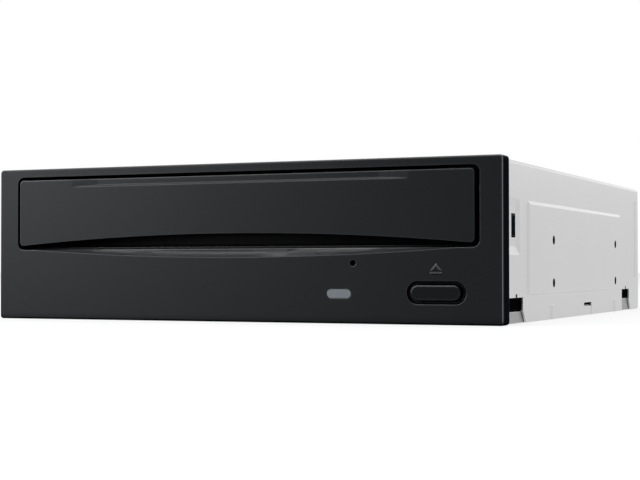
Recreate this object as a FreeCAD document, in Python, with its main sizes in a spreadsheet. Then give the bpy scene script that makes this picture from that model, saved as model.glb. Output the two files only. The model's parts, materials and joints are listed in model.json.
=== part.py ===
import FreeCAD, Part
import math
import os

import Sketcher

# Internal disc writer, half height, tray loading.
# Millimetres and degrees. X to the right, Y to the rear, Z up.
# Lengths in Y are measured from the bezel face and heights from the bezel's lower edge;
# front_y then brings the middle of the footprint to the origin.

V = FreeCAD.Vector

SIZES = {
    # the whole drive
    "depth": 170.0,
    "fit_gap": 0.3,
    "run_gap": 0.05,
    # front bezel
    "bezel_w": 148.0,
    "bezel_h": 42.0,
    "bezel_t": 5.0,
    "bezel_wall": 2.2,
    "bezel_rim": 1.8,
    "bezel_corner": 0.9,
    "bezel_edge": 0.5,
    "mouth_gap": 1.5,
    "mouth_sill": 19.95,
    "sill_front": 19.3,
    "sill_step": 3.4,
    "mouth_top": 39.75,
    "mouth_corner": 2.0,
    "sill_drop": 4.95,
    "scoop_radius": 4.0,
    "scoop_front": 2.6,
    "scoop_mid": 20.05,
    "scoop_sweep": 850.0,
    "scoop_angle": 9.0,
    "hook_inset": 3.05,
    "hook_t": 1.4,
    "hook_len": 12.0,
    "hook_low": 22.3,
    "hook_high": 27.7,
    "hook_nose": 1.2,
    # lights, button and emergency hole in the bezel
    "light_x": 30.4,
    "light_z": 7.65,
    "light_w": 6.7,
    "light_h": 2.4,
    "pin_pitch": 3.9,
    "pin_z": 15.45,
    "pin_hole_r": 0.8,
    "button_inset": 17.3,
    "button_z": 8.0,
    "button_w": 13.15,
    "button_h": 3.85,
    "button_proud": 1.0,
    "button_recess_w": 15.6,
    "button_recess_h": 5.8,
    "button_recess_t": 0.8,
    "button_flange": 1.1,
    "button_flange_t": 1.2,
    "button_travel": 0.8,
    "stem_w": 3.0,
    # tray door
    "door_gap": 1.2,
    "door_low": 20.5,
    "door_top": 38.75,
    "door_arch": 2.9,
    "door_proud": 0.6,
    "door_t": 4.0,
    "door_wall": 2.0,
    "door_rim": 1.5,
    "door_corner": 1.0,
    "door_crease": 2.05,
    "crease_inset": 17.3,
    "crease_depth": 0.4,
    "crease_ramp": 8.0,
    "door_rib_x": 30.0,
    "door_rib_w": 2.0,
    # top cover
    "sheet": 0.6,
    "bezel_lap": 1.35,
    "cover_drop": 0.35,
    "cover_low": 0.05,
    "cover_bend": 1.0,
    "cover_rear_low": 13.0,
    "rear_round": 2.0,
    "panel_proud": 0.35,
    "panel_front": 27.2,
    "panel_in": 30.4,
    "panel_low": 6.8,
    "panel_high": 31.7,
    "panel_slope": 0.8,
    "latch_rear": 19.4,
    "latch_low": 17.45,
    "latch_high": 32.05,
    "latch_depth": 0.5,
    "latch_slope": 2.2,
    "latch_slot_front": 13.2,
    "latch_slot_rear": 17.0,
    "latch_slot_low": 21.9,
    "latch_slot_high": 28.05,
    "groove_in": 5.1,
    "groove_w": 3.0,
    "groove_low": 10.7,
    "groove_high": 37.3,
    "groove_slope": 0.5,
    "bump_in": 38.0,
    "bump_front_y": 51.9,
    "bump_r": 4.8,
    "bump_top": 4.0,
    "tongue_front": 89.3,
    "tongue_rear": 98.8,
    "tongue_low": 2.7,
    "tongue_high": 3.8,
    "slit_w": 0.6,
    "notch_front_rear": 22.2,
    "notch_front_top": 6.6,
    "notch_flare": 3.2,
    "notch_step": 3.3,
    "tick_w": 1.7,
    "tick_rise": 0.9,
    "tick_front": 15.3,
    "tick_inset": 5.3,
    "notch_rear_in": 27.1,
    "notch_rear_w": 11.6,
    "notch_rear_top": 7.1,
    "stamp_front": 24.0,
    "stamp_in": 20.0,
    "stamp_inset": 20.65,
    "stamp_depth": 0.4,
    "stamp_slope": 1.2,
    # mounting holes of the bay
    "side_hole_front": 52.4,
    "hole_pitch_y": 79.25,
    "side_hole_low": 10.0,
    "hole_pitch_z": 11.84,
    "bottom_hole_inset": 2.8,
    "hole_r": 1.3,
    "collar_r": 2.0,
    "collar_len": 0.5,
    # bottom plate
    "plate_gap": 0.1,
    "plate_front": 5.3,
    "flange_h": 3.0,
    "flange_rear_h": 4.0,
    "plate_rear_h": 12.5,
    "dimple_r": 3.9,
    "dimple_h": 0.9,
    "case_screw_inset": 7.75,
    "case_screw_front": 14.0,
    "case_screw_in": 2.0,
    "screw_head_r": 2.7,
    "screw_head_h": 0.75,
    "screw_r": 1.2,
    "case_screw_len": 7.5,
    "bead_w": 5.0,
    "bead_h": 0.5,
    "bead_x": 34.0,
    "bead_front": 30.0,
    "bead_rear": 90.0,
    "window_margin": 2.0,
    "window_low": 2.7,
    "window_high": 10.6,
    # main frame
    "frame_wall": 2.0,
    "frame_front": 18.5,
    "frame_in": 10.0,
    "frame_low": 3.4,
    "frame_top": 36.9,
    "foot_h": 5.6,
    "deck_front": 6.0,
    "deck_rear": 36.7,
    "cheek_t": 1.2,
    "deck_z": 17.0,
    "deck_t": 1.5,
    "rail_grip": 3.0,
    "rail_low": 24.6,
    "rail_end": 10.0,
    "guide_t": 2.2,
    "tab_h": 1.5,
    "tab_w": 10.0,
    "tab_front_y": 8.0,
    "tab_mid_y": 92.0,
    "tab_in": 24.0,
    "rear_bar_t": 5.0,
    "rear_bar_low": 6.0,
    "rear_bar_high": 21.0,
    "front_bar_front": 35.0,
    "front_bar_rear": 42.0,
    "front_bar_t": 1.5,
    "lip_y": 40.3,
    "hook_bar_inset": 12.0,
    "hook_bar_w": 6.0,
    "socket_t": 4.6,
    "socket_lead": 4.5,
    "socket_low": 12.5,
    "socket_high": 21.5,
    "post_r": 3.2,
    # disc tray
    "guide_w": 2.95,
    "tray_front": 3.4,
    "tray_in": 5.0,
    "tray_low": 27.5,
    "tray_top": 31.5,
    "tray_edge_low": 27.0,
    "tray_corner": 4.0,
    "disc_y": 68.0,
    "disc_r": 60.5,
    "disc_floor": 29.7,
    "small_disc_r": 40.5,
    "small_disc_floor": 28.2,
    "small_boss_low": 26.5,
    "small_boss_r": 42.0,
    "slot_half": 16.0,
    "slot_r": 17.0,
    "slot_in": 20.5,
    "slot_relief": 1.0,
    "tray_wall_t": 2.0,
    "tray_wall_gap": 1.0,
    "tray_wall_low": 24.1,
    "apron_low": 20.6,
    "apron_t": 1.6,
    "tray_wall_high": 36.5,
    "tray_travel": 132.0,
    # rack and gears
    "rack_module": 1.0,
    "rack_back": 2.6,
    "rack_low": 23.8,
    "rack_front": 10.0,
    "rack_in": 2.0,
    "mesh_angle": 20.0,
    "backlash": 0.24,
    "gear_y": 24.0,
    "pinion_teeth": 16,
    "pinion_low": 22.0,
    "pinion_high": 26.2,
    "wheel_module": 0.8,
    "wheel_teeth": 40,
    "wheel_low": 19.0,
    "wheel_t": 2.5,
    "small_teeth": 12,
    "gear_pin_r": 1.5,
    "gear_boss_r": 3.0,
    "gear_boss_h": 0.45,
    "pulley_r": 11.0,
    "pulley_low": 22.2,
    "pulley_t": 3.4,
    "pulley_lip": 0.9,
    "pulley_lip_t": 0.7,
    "belt_t": 1.0,
    "belt_w": 1.4,
    "motor_pitch": 18.4,
    "belt_pitch": 28.2,
    "motor_y": 20.0,
    "motor_r": 12.0,
    "motor_h": 12.0,
    "motor_boss_r": 3.0,
    "motor_shaft_r": 0.75,
    "motor_pulley_r": 3.2,
    "motor_screw_pitch": 16.0,
    # cam slider and the pins that it lifts
    "cam_front": 37.0,
    "cam_t": 3.0,
    "cam_low": 5.2,
    "cam_end_gap": 9.75,
    "cam_right": 42.0,
    "cam_step_x": -26.0,
    "cam_low_top": 16.0,
    "cam_high_top": 23.4,
    "cam_travel": 18.0,
    "cam_pin_r": 1.5,
    "cam_slot_half": 1.95,
    "cam_pin_left": -4.0,
    "cam_pin_right": 38.0,
    "cam_pin_z": 20.0,
    # clamp
    "bridge_front": 50.0,
    "bridge_rear": 86.0,
    "bridge_t": 0.8,
    "bridge_hole_r": 13.0,
    "bridge_flange": 1.6,
    "bridge_rib_r": 22.0,
    "bridge_boss_w": 7.0,
    "bridge_screw_inset": 2.55,
    "bridge_screw_edge": 6.0,
    "bridge_screw_len": 5.0,
    "clamper_r": 12.0,
    "clamper_low": 34.2,
    "clamper_flange_r": 16.0,
    "clamper_flange_t": 1.2,
    "clamper_recess_r": 8.5,
    "clamper_recess_top_r": 5.0,
    "clamper_recess_h": 2.2,
    "magnet_r": 8.0,
    "magnet_t": 1.8,
    # traverse, drawn level and then lowered about its rear pins
    "lower_angle": 5.74,
    "pivot_in": 20.0,
    "pivot_z": 17.0,
    "pivot_r": 1.8,
    "holder_margin": 3.5,
    "holder_wall": 2.5,
    "holder_front": 43.0,
    "holder_front_wall": 3.0,
    "holder_end": 2.0,
    "holder_low": 13.5,
    "holder_top": 22.6,
    "holder_floor": 1.2,
    "holder_lip": 5.0,
    "arm_w": 6.0,
    "arm_end": 3.0,
    "arm_top": 20.5,
    "pad_top": 17.0,
    "pad_half": 4.6,
    "damper_r": 4.0,
    "damper_front_x": 24.0,
    "damper_front_y": 51.0,
    "damper_inset": 3.9,
    "damper_in": 4.0,
    "damper_screw_r": 1.5,
    "damper_head_r": 3.2,
    "damper_head_h": 1.1,
    "chassis_half": 42.5,
    "chassis_front": 47.0,
    "chassis_end": 3.5,
    "chassis_low": 23.2,
    "chassis_t": 1.2,
    "chassis_window_half": 17.5,
    "chassis_window_front": 81.5,
    "window_in": 7.5,
    "rail_inset": 15.0,
    "rail_z": 20.0,
    "rail_r": 1.5,
    "rail_front_y": 56.0,
    "rod_end": 1.0,
    "clip_half": 2.6,
    "clip_len": 3.0,
    "clip_drop": 2.6,
    # spindle
    "spindle_plate_half": 16.0,
    "spindle_plate_t": 0.8,
    "stator_r": 11.0,
    "stator_h": 5.0,
    "rotor_r": 13.0,
    "rotor_wall": 0.8,
    "rotor_low": 25.8,
    "rotor_high": 31.4,
    "shaft_r": 1.5,
    "turntable_r": 14.5,
    "turntable_t": 2.0,
    "disc_seat": 33.6,
    "rubber_out": 13.8,
    "rubber_in": 10.5,
    "rubber_t": 0.6,
    "cone_low_r": 7.4,
    "cone_top_r": 6.2,
    "cone_h": 1.8,
    "cone_hub_r": 3.6,
    # sled and lens
    "lens_y": 92.0,
    "sled_travel": 34.0,
    "sled_overlap": 3.0,
    "sled_front": 78.0,
    "sled_rear": 106.0,
    "sled_low": 16.5,
    "sled_high": 22.9,
    "sled_floor": 1.6,
    "tower_half": 14.0,
    "tower_high": 26.3,
    "actuator_half": 11.0,
    "actuator_front": 9.0,
    "actuator_rear": 7.0,
    "actuator_wall": 1.0,
    "actuator_high": 31.0,
    "lens_gap": 0.4,
    "lens_holder_low": 28.0,
    "lens_holder_top": 31.0,
    "lens_holder_half": 5.5,
    "lens_r": 3.2,
    "lens_rise": 0.9,
    # sled drive
    "screw_inset": 6.0,
    "screw_z": 19.5,
    "screw_rod_r": 1.5,
    "screw_front": 50.5,
    "screw_in": 12.0,
    "stepper_r": 6.0,
    "stepper_front": 50.0,
    "stepper_rear": 61.8,
    "screw_bracket_t": 1.0,
    "screw_bracket_in": 11.5,
    "screw_bracket_w": 9.0,
    "follower_half": 3.0,
    "follower_reach": 2.8,
    "follower_gap": 0.09,
    # electronics
    "board_t": 1.6,
    "board_end": 4.4,
    "board_edge": 0.5,
    "front_board_front": 8.4,
    "front_board_rear": 22.0,
    "front_board_z": 3.5,
    "switch_w": 6.0,
    "switch_front": 10.4,
    "switch_rear": 14.0,
    "switch_h": 5.0,
    "plunger_r": 1.2,
    "plunger_in": 1.4,
    "led_w": 3.2,
    "led_front": 10.4,
    "led_rear": 13.0,
    "led_h": 3.0,
    "board_screw_pitch": 12.7,
    "board_screw_y": 17.5,
    "board_boss_r": 2.5,
    "board_head_r": 2.2,
    "board_head_h": 0.8,
    "board_screw_r": 1.0,
    "board_screw_bite": 4.0,
    "board_inset": 5.5,
    "main_board_l": 69.0,
    "main_board_in": 5.0,
    "main_board_z": 3.0,
    "main_screw_inset": 4.5,
    "main_screw_in": 2.4,
    "chip_side": 20.0,
    "chip_t": 1.4,
    "chip_x": -8.0,
    "chip_in": 37.0,
    "driver_side": 12.0,
    "driver_inset": 30.5,
    "driver_in": 47.0,
    "memory_w": 8.0,
    "memory_l": 5.0,
    "memory_x": 14.0,
    "memory_in": 25.0,
    "cap_r": 2.5,
    "cap_h": 4.2,
    "cap_inset": 24.5,
    "cap_in": 15.0,
    "cap_pitch": 7.0,
    "socket_w": 12.0,
    "socket_l": 4.0,
    "socket_h": 2.0,
    "socket_pitch": 24.0,
    "ribbon_w": 9.0,
    "ribbon_t": 0.25,
    "ribbon_gap": 1.5,
    "ribbon_low": 1.15,
    "power_inset": 8.0,
    "power_w": 22.0,
    "plug_gap": 2.5,
    "data_w": 12.5,
    "plug_len": 11.2,
    "plug_recess": 0.2,
    "plug_h": 5.2,
    "plug_wall": 0.9,
    "plug_depth": 7.5,
    "key_t": 1.2,
    "key_short": 1.5,
}

doc = FreeCAD.newDocument("disc_writer")
sheet = doc.addObject("Spreadsheet::Sheet", "Sizes")
for row, (alias, number) in enumerate(SIZES.items(), start=1):
    sheet.set("A%d" % row, alias)
    sheet.set("B%d" % row, str(number))
    sheet.setAlias("B%d" % row, alias)
doc.recompute()


class Size:
    """A length that carries its present value and its formula in the sheet's cells."""

    def __init__(self, value, formula):
        self.value = value
        self.formula = formula

    def join(self, other, sign, result, swapped=False):
        left, right = (text(other), self.formula) if swapped else (self.formula, text(other))
        return Size(result, "(%s %s %s)" % (left, sign, right))

    def __add__(self, other):
        return self.join(other, "+", self.value + num(other))

    def __sub__(self, other):
        return self.join(other, "-", self.value - num(other))

    def __mul__(self, other):
        return self.join(other, "*", self.value * num(other))

    def __truediv__(self, other):
        return self.join(other, "/", self.value / num(other))

    def __radd__(self, other):
        return self.join(other, "+", num(other) + self.value, True)

    def __rsub__(self, other):
        return self.join(other, "-", num(other) - self.value, True)

    def __rmul__(self, other):
        return self.join(other, "*", num(other) * self.value, True)

    def __neg__(self):
        return Size(-self.value, "(0 - %s)" % self.formula)


def num(size):
    return size.value if isinstance(size, Size) else float(size)


def text(size):
    return size.formula if isinstance(size, Size) else "(%r)" % float(size)


def sine(angle):
    return Size(math.sin(math.radians(num(angle))), "sin(%s)" % text(angle))


def cosine(angle):
    return Size(math.cos(math.radians(num(angle))), "cos(%s)" % text(angle))


class Cells:
    """Reads a cell of the sheet by its alias."""

    def __getattr__(self, alias):
        return Size(float(sheet.get(alias)), "Sizes." + alias)


S = Cells()

# places worked out from the sizes above, each with the clearance that it keeps
front_y = (S.button_proud - S.depth) / 2
cover_top = S.bezel_h - S.cover_drop
cover_w = S.bezel_w - 2 * S.bezel_lap
frame_half = cover_w / 2 - S.sheet - S.fit_gap
tray_half = frame_half - S.frame_wall - S.guide_w - S.fit_gap
rail_in = tray_half - S.rail_grip
deck_half = tray_half + S.fit_gap + S.cheek_t
mouth_w = 2 * (tray_half + S.mouth_gap)
door_w = mouth_w - 2 * S.door_gap
crease_half = door_w / 2 - S.crease_inset
hook_x = cover_w / 2 - S.hook_inset
stamp_half = cover_w / 2 - S.stamp_inset
case_screw_x = frame_half - S.case_screw_inset
bottom_hole_x = cover_w / 2 - S.bottom_hole_inset
bridge_screw_x = frame_half - S.bridge_screw_inset
bridge_boss_in = tray_half + S.fit_gap
tray_wall_half = rail_in - S.tray_wall_gap
main_board_half = case_screw_x - S.board_inset
main_screw_x = main_board_half - S.main_screw_inset
cap_x = main_board_half - S.cap_inset
driver_x = main_board_half - S.driver_inset
power_left = S.power_inset - main_board_half
data_left = power_left + S.power_w + S.plug_gap
button_x = S.bezel_w / 2 - S.button_inset
pin_x = S.light_x + S.pin_pitch
front_board_left = S.light_x - S.board_end
front_board_right = button_x + S.switch_w / 2 + S.board_edge
board_screw_x = button_x - S.board_screw_pitch
motor_x = S.light_x - S.motor_pitch
pulley_x = motor_x - S.belt_pitch
gear_x = pulley_x - S.wheel_module * (S.wheel_teeth + S.small_teeth) / 2
rack_x = gear_x - S.rack_module * S.pinion_teeth / 2
cam_left = S.cam_end_gap - frame_half
hook_bar_x = cam_left + S.hook_bar_inset
notch_rear_front = S.depth - S.notch_rear_in
notch_rear_rear = notch_rear_front + S.notch_rear_w
tick_rear = notch_rear_front + S.tick_inset
groove_y = S.depth - S.groove_in
stamp_rear = S.depth - S.stamp_in
panel_rear = S.depth - S.panel_in
frame_rear = S.depth - S.frame_in
tray_rear = frame_rear - S.tray_in
slot_rear = tray_rear - S.slot_in
rack_rear = tray_rear - S.rack_in
tab_rear_y = frame_rear - S.tab_in
bump_rear_y = S.depth - S.bump_in
rear_bar_front = frame_rear - S.rear_bar_t
rail_rear = frame_rear - S.rail_end
case_screw_rear = frame_rear - S.case_screw_in
main_board_rear = S.depth - S.main_board_in
main_board_front = main_board_rear - S.main_board_l
chip_y = main_board_rear - S.chip_in
driver_y = main_board_rear - S.driver_in
memory_y = main_board_rear - S.memory_in
cap_y = main_board_rear - S.cap_in
main_screw_y = frame_rear - S.main_screw_in
plug_rear = S.depth - S.sheet - S.plug_recess
plug_front = plug_rear - S.plug_len
pivot_y = S.depth - S.pivot_in
socket_front = pivot_y - S.socket_lead
holder_rear = pivot_y - S.holder_end
arm_rear = pivot_y + S.arm_end
chassis_rear = holder_rear - S.chassis_end
chassis_window_rear = chassis_rear - S.window_in
damper_rear_y = chassis_rear - S.damper_in
screw_rear = chassis_rear - S.screw_in
screw_bracket_rear = chassis_rear - S.screw_bracket_in
holder_half = S.chassis_half + S.holder_margin
arm_in = holder_half - S.arm_w
rail_x = S.chassis_half - S.rail_inset
sled_half = rail_x + S.sled_overlap
screw_x = S.screw_inset - S.chassis_half
damper_rear_x = S.chassis_half - S.damper_inset
rail_rear_y = chassis_rear - S.rod_end
switch_tip = S.switch_front - S.button_travel - 2 * S.fit_gap
ribbon_x = board_screw_x + S.board_boss_r + S.ribbon_w / 2 + S.ribbon_gap


# ---------------------------------------------------------------- building blocks

def bind(obj, prop, size):
    """Ties a property to its formula."""
    if isinstance(size, Size):
        obj.setExpression(prop, size.formula)
    else:
        setattr(obj, prop, size)


def place(obj, x, y, z, rotation=None):
    """Puts an object at x, y behind the bezel face and z above the bezel's lower edge."""
    obj.Placement = FreeCAD.Placement(V(0, 0, 0), rotation or FreeCAD.Rotation())
    for axis, size in (("x", x), ("y", y + front_y), ("z", z)):
        obj.setExpression("Placement.Base." + axis, text(size))
    return obj


def block(name, xs, ys, zs):
    """A box between two limits on each axis."""
    obj = doc.addObject("Part::Box", name)
    for prop, (low, high) in zip(("Length", "Width", "Height"), (xs, ys, zs)):
        bind(obj, prop, high - low)
    return place(obj, xs[0], ys[0], zs[0])


ALONG = {"X": FreeCAD.Rotation(V(0, 1, 0), 90), "Y": FreeCAD.Rotation(V(1, 0, 0), -90), "Z": FreeCAD.Rotation()}


def rod(name, x, y, z, radius, length, along="Z"):
    """A cylinder that starts at a point and runs along an axis."""
    obj = doc.addObject("Part::Cylinder", name)
    bind(obj, "Radius", radius)
    bind(obj, "Height", length)
    return place(obj, x, y, z, ALONG[along])


def cone(name, x, y, z, radius_low, radius_high, height):
    obj = doc.addObject("Part::Cone", name)
    bind(obj, "Radius1", radius_low)
    bind(obj, "Radius2", radius_high)
    bind(obj, "Height", height)
    return place(obj, x, y, z)


def fuse(name, *parts):
    obj = doc.addObject("Part::MultiFuse", name)
    obj.Shapes = list(parts)
    obj.Refine = True
    return obj


def cut(name, base, *tools):
    obj = doc.addObject("Part::Cut", name)
    obj.Base = base
    obj.Tool = tools[0] if len(tools) == 1 else fuse(name + "_tools", *tools)
    obj.Refine = True
    return obj


def either(side, near, far):
    """The limits near to far on the right side, or their mirror image on the left."""
    return (near, far) if side > 0 else (-far, -near)


def stamped(name, facing, level, depth, us, ys, slope):
    """A shallow panel with sloped edges that rises from a level toward +X, -X, +Z or -Z.

    us are its limits along the other cross axis (Z for a side panel, X for a top one).
    """
    obj = doc.addObject("Part::Wedge", name)
    if facing in ("+X", "-X"):
        turn = FreeCAD.Rotation(V(1, 1, 0), 180) if facing == "+X" else FreeCAD.Rotation(V(0, 0, 1), 90)
        long_side, cross = ys, ((-us[1], -us[0]) if facing == "+X" else us)
        at = (level, 0 * level, 0 * level)
        long_side = (long_side[0] + 0 * level, long_side[1] + 0 * level)
    else:
        turn = FreeCAD.Rotation(V(1, 0, 0), 90 if facing == "+Z" else -90)
        long_side, cross = us, ((-ys[1], -ys[0]) if facing == "+Z" else ys)
        at = (0 * level, 0 * level, level)
    limits = {
        "Xmin": long_side[0], "Xmax": long_side[1], "Zmin": cross[0], "Zmax": cross[1],
        "X2min": long_side[0] + slope, "X2max": long_side[1] - slope,
        "Z2min": cross[0] + slope, "Z2max": cross[1] - slope,
    }
    for prop, size in limits.items():
        setattr(obj, prop, num(size))
        obj.setExpression(prop, text(size))
    obj.Ymin = 0
    bind(obj, "Ymax", depth)
    return place(obj, at[0], at[1], at[2], turn)


# ---------------------------------------------------------------- sketches and features

def new_body(name):
    return doc.addObject("PartDesign::Body", name)


def sketch(body, plane, level, name):
    """A sketch on XZ (level behind the bezel face), XY (level up) or YZ (level to the right)."""
    obj = body.newObject("Sketcher::SketchObject", name)
    role = plane + "_Plane"
    obj.AttachmentSupport = [([o for o in body.Origin.OriginFeatures if o.Role == role][0], "")]
    obj.MapMode = "FlatFace"
    if plane == "XZ":
        obj.setExpression("AttachmentOffset.Base.z", text(-(level + front_y)))
    elif plane == "XY":
        obj.setExpression("AttachmentOffset.Base.y", text(front_y))
        obj.setExpression("AttachmentOffset.Base.z", text(level))
    else:
        obj.setExpression("AttachmentOffset.Base.x", text(front_y))
        obj.setExpression("AttachmentOffset.Base.z", text(level))
    return obj


def dimension(sk, kind, geometry, point, size):
    """Dimensions one point from the sketch's origin, or sets a radius."""
    if kind == "Radius":
        index = sk.addConstraint(Sketcher.Constraint("Radius", geometry, num(size)))
    else:
        index = sk.addConstraint(Sketcher.Constraint(kind, -1, 1, geometry, point, num(size)))
    if isinstance(size, Size):
        sk.setExpression("Constraints[%d]" % index, size.formula)


def locate(sk, geometry, point, x, y):
    for kind, axis, size in (("DistanceX", -2, x), ("DistanceY", -1, y)):
        if num(size) == 0:
            sk.addConstraint(Sketcher.Constraint("PointOnObject", geometry, point, axis))
        else:
            dimension(sk, kind, geometry, point, size)


def polygon(sk, points):
    """A closed outline of straight edges with every corner dimensioned."""
    first = sk.GeometryCount
    corners = [V(num(x), num(y), 0) for x, y in points]
    count = len(corners)
    sk.addGeometry([Part.LineSegment(corners[i], corners[(i + 1) % count]) for i in range(count)], False)
    for i in range(count):
        sk.addConstraint(Sketcher.Constraint("Coincident", first + i, 2, first + (i + 1) % count, 1))
    for i, (x, y) in enumerate(points):
        locate(sk, first + i, 1, x, y)


def rounded(sk, xs, ys, radius):
    """A rectangle with four equal round corners."""
    (x0, x1), (y0, y1), r = [num(x) for x in xs], [num(y) for y in ys], num(radius)
    first = sk.GeometryCount

    def corner(x, y, start):
        return Part.ArcOfCircle(Part.Circle(V(x, y, 0), V(0, 0, 1), r), start, start + math.pi / 2)

    sk.addGeometry([
        Part.LineSegment(V(x0 + r, y0, 0), V(x1 - r, y0, 0)), corner(x1 - r, y0 + r, -math.pi / 2),
        Part.LineSegment(V(x1, y0 + r, 0), V(x1, y1 - r, 0)), corner(x1 - r, y1 - r, 0),
        Part.LineSegment(V(x1 - r, y1, 0), V(x0 + r, y1, 0)), corner(x0 + r, y1 - r, math.pi / 2),
        Part.LineSegment(V(x0, y1 - r, 0), V(x0, y0 + r, 0)), corner(x0 + r, y0 + r, math.pi),
    ], False)
    for i in range(8):
        sk.addConstraint(Sketcher.Constraint("Tangent", first + i, 2, first + (i + 1) % 8, 1))
    for i in (0, 4):
        sk.addConstraint(Sketcher.Constraint("Horizontal", first + i))
    for i in (2, 6):
        sk.addConstraint(Sketcher.Constraint("Vertical", first + i))
    for i in (3, 5, 7):
        sk.addConstraint(Sketcher.Constraint("Equal", first + 1, first + i))
    dimension(sk, "Radius", first + 1, 0, radius)
    dimension(sk, "DistanceX", first + 6, 1, xs[0])
    dimension(sk, "DistanceX", first + 2, 1, xs[1])
    dimension(sk, "DistanceY", first + 0, 1, ys[0])
    dimension(sk, "DistanceY", first + 4, 1, ys[1])


def stadium(sk, x, y, width, height):
    """A slot with round ends, wider than it is high."""
    first = sk.GeometryCount
    r = height / 2
    left, right = x - (width - height) / 2, x + (width - height) / 2
    a, b, c, q = num(left), num(right), num(y), num(r)
    sk.addGeometry([
        Part.LineSegment(V(a, c - q, 0), V(b, c - q, 0)),
        Part.ArcOfCircle(Part.Circle(V(b, c, 0), V(0, 0, 1), q), -math.pi / 2, math.pi / 2),
        Part.LineSegment(V(b, c + q, 0), V(a, c + q, 0)),
        Part.ArcOfCircle(Part.Circle(V(a, c, 0), V(0, 0, 1), q), math.pi / 2, 1.5 * math.pi),
    ], False)
    for i in range(4):
        sk.addConstraint(Sketcher.Constraint("Tangent", first + i, 2, first + (i + 1) % 4, 1))
    sk.addConstraint(Sketcher.Constraint("Horizontal", first))
    dimension(sk, "Radius", first + 1, 0, r)
    dimension(sk, "DistanceX", first + 1, 3, right)
    dimension(sk, "DistanceY", first + 1, 3, y)
    dimension(sk, "DistanceX", first + 3, 3, left)


def circle(sk, x, y, radius):
    first = sk.GeometryCount
    sk.addGeometry(Part.Circle(V(num(x), num(y), 0), V(0, 0, 1), num(radius)), False)
    dimension(sk, "Radius", first, 0, radius)
    locate(sk, first, 3, x, y)


def feature(body, kind, sk, length, reverse, name):
    """A Pad or Pocket, with proof that it added or removed something."""
    doc.recompute()
    before = body.Shape.Volume if body.Tip else 0.0
    obj = body.newObject("PartDesign::" + kind, name)
    obj.Profile = sk
    obj.Reversed = reverse
    bind(obj, "Length", length)
    doc.recompute()
    change = body.Shape.Volume - before
    if (change > 0) != (kind == "Pad") or abs(change) < 1e-6:
        raise ValueError("%s did nothing" % name)
    return obj


def pad(body, sk, length, name, reverse=False):
    return feature(body, "Pad", sk, length, reverse, name)


def pocket(body, sk, length, name, reverse=False):
    return feature(body, "Pocket", sk, length, reverse, name)


def sweep_groove(body, sk, axis_y, axis_z, angle, name):
    """Turns a sketched profile about a far axis that runs along Y, and removes it."""
    line = sk.GeometryCount
    sk.addGeometry(Part.LineSegment(V(num(axis_y), num(axis_z), 0), V(num(axis_y) + 20, num(axis_z), 0)), True)
    sk.addConstraint(Sketcher.Constraint("Horizontal", line))
    locate(sk, line, 1, axis_y, axis_z)
    dimension(sk, "DistanceX", line, 2, axis_y + 20)
    doc.recompute()
    before = body.Shape.Volume
    obj = body.newObject("PartDesign::Groove", name)
    obj.Profile = sk
    obj.ReferenceAxis = (sk, ["Axis0"])
    obj.Midplane = True
    bind(obj, "Angle", angle)
    doc.recompute()
    if body.Shape.Volume > before - 1e-6:
        raise ValueError("%s removed nothing" % name)
    return obj


def edge_names(shape, wanted):
    return ["Edge%d" % (i + 1) for i, edge in enumerate(shape.Edges) if wanted(edge)]


def fillet(body, wanted, radius, name):
    tip = body.Tip
    obj = body.newObject("PartDesign::Fillet", name)
    obj.Base = (tip, edge_names(tip.Shape, wanted))
    bind(obj, "Radius", radius)
    doc.recompute()
    return obj


def on_plane(axis, size):
    """Picks the edges that lie wholly at one coordinate."""
    level = num(size)
    return lambda edge: all(abs(getattr(v.Point, axis) - level) < 1e-4 for v in edge.Vertexes)


# ---------------------------------------------------------------- the list of pieces

PIECES = []


def piece(label, obj):
    obj.Label = label
    PIECES.append(obj)
    return obj


def lowered(obj):
    """Swings a piece of the traverse down about the holder's rear pins."""
    a, y, z = S.lower_angle, pivot_y + front_y, S.pivot_z
    obj.Placement = FreeCAD.Placement(V(0, 0, 0), FreeCAD.Rotation(V(1, 0, 0), num(a)))
    obj.setExpression("Placement.Rotation.Angle", text(a))
    obj.setExpression("Placement.Base.y", text(y - y * cosine(a) + z * sine(a)))
    obj.setExpression("Placement.Base.z", text(z - y * sine(a) - z * cosine(a)))
    return obj


# ---------------------------------------------------------------- front

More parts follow.
